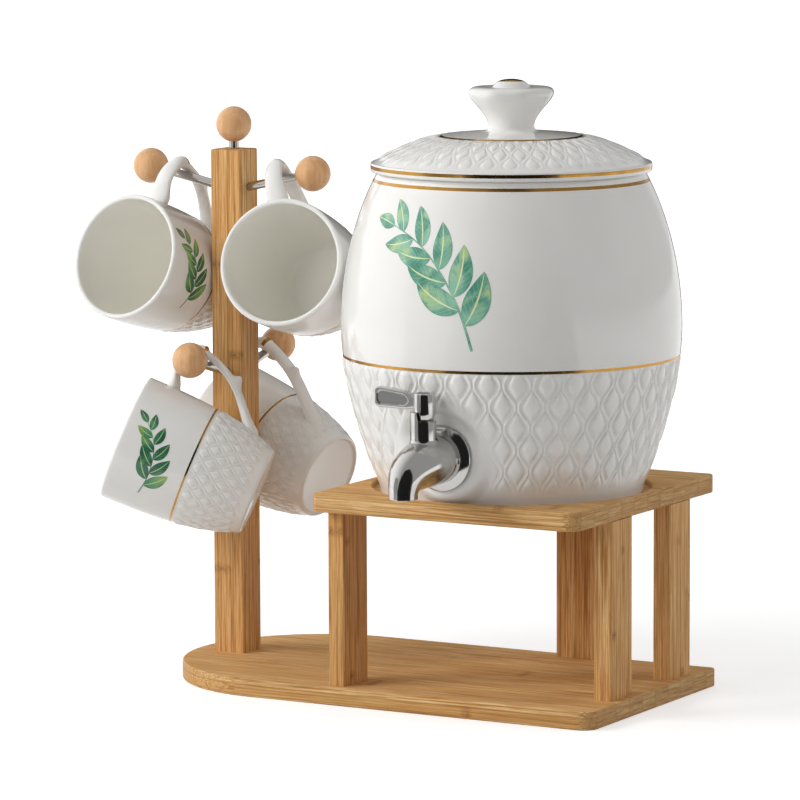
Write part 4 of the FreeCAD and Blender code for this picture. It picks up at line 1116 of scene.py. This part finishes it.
# %% Sky and lamps
def sky(low, high):
    """A dim even sky, which the camera sees as white. Low and high are its strengths at
    the horizon and overhead. Reflections see it grey on the right and bright on the
    left, as if a white wall stood there."""
    world = bpy.data.worlds.new("studio")
    bpy.context.scene.world = world
    world.use_nodes = True
    add = partial(add_node, world)
    direction = add("TexCoord")["Generated"]
    rise = add("SeparateXYZ", [direction])[2]
    leftwards = add("VectorMath", [direction, (-0.99, 0.15, 0)], operation="DOT_PRODUCT")["Value"]
    dim = add("MapRange", [rise, 0.0, 0.9, low, high])[0]
    mirrored = add("MapRange", [leftwards, 0.0, 0.9, 0.45, 1.5])[0]
    rays = add("LightPath")
    lit = add("Mix", {0: rays["Is Glossy Ray"], 2: dim, 3: mirrored})[0]
    strength = add("Mix", {0: rays["Is Camera Ray"], 2: lit, 3: 1.0})[0]
    feed(world.node_tree.nodes["Background"], {"Color": "#FFFFFF", "Strength": strength})


def lamp(name, compass, rise, distance, size, watts):
    """A soft square lamp at a compass angle and a rise in degrees, aimed at the set. It
    has no mirror image, so the glaze shows no hard window."""
    light = bpy.data.lights.new(name, "AREA")
    light.size, light.energy = size, watts
    made = put(name, light)
    out = Vector(towards(compass, rise))
    made.location = Vector((-0.08, 0, 0.2)) + out * distance
    made.rotation_mode = "QUATERNION"
    made.rotation_quaternion = out.to_track_quat("Z", "Y")
    made.visible_glossy = False
    print(name, watts, "W at", compass, "degrees")


sky(0.19, 0.28)
# Compass angle and rise in degrees, distance and size in metres, power in watts.
lamp("key_softbox", -140, 32, 2.3, 1.2, 32)
lamp("front_softbox", -100, 16, 2.4, 1.0, 10)
lamp("right_softbox", 28, 22, 2.2, 0.9, 12.5)
lamp("back_softbox", 119, 30, 2.4, 1.2, 9)

# %% Camera
PICTURE = 800                 # width of the picture in its own pixels
FOCAL_LENGTH = 5011.3         # in the same pixels
camera_data = bpy.data.cameras.new("camera")
camera_data.sensor_width = 36
camera_data.lens = FOCAL_LENGTH / PICTURE * camera_data.sensor_width
camera_data.clip_start, camera_data.clip_end = 0.1, 30
camera = put("camera", camera_data)
bpy.context.scene.camera = camera
# The columns are the picture's right, its up and the way back to the camera.
camera_axes = Matrix(((0.87137157, -0.05889839, 0.48707552), (0.49060751, 0.11265988, -0.86406714),
                      (-0.00398171, 0.99188645, 0.12706461)))
camera.location = (1.555289, -2.909914, 0.622569)
camera.rotation_mode = "QUATERNION"
camera.rotation_quaternion = camera_axes.to_quaternion()
bpy.context.scene.view_settings.view_transform = "Standard"
print("camera lens", round(camera_data.lens, 1), "mm at", np.round(camera.location, 2).tolist())
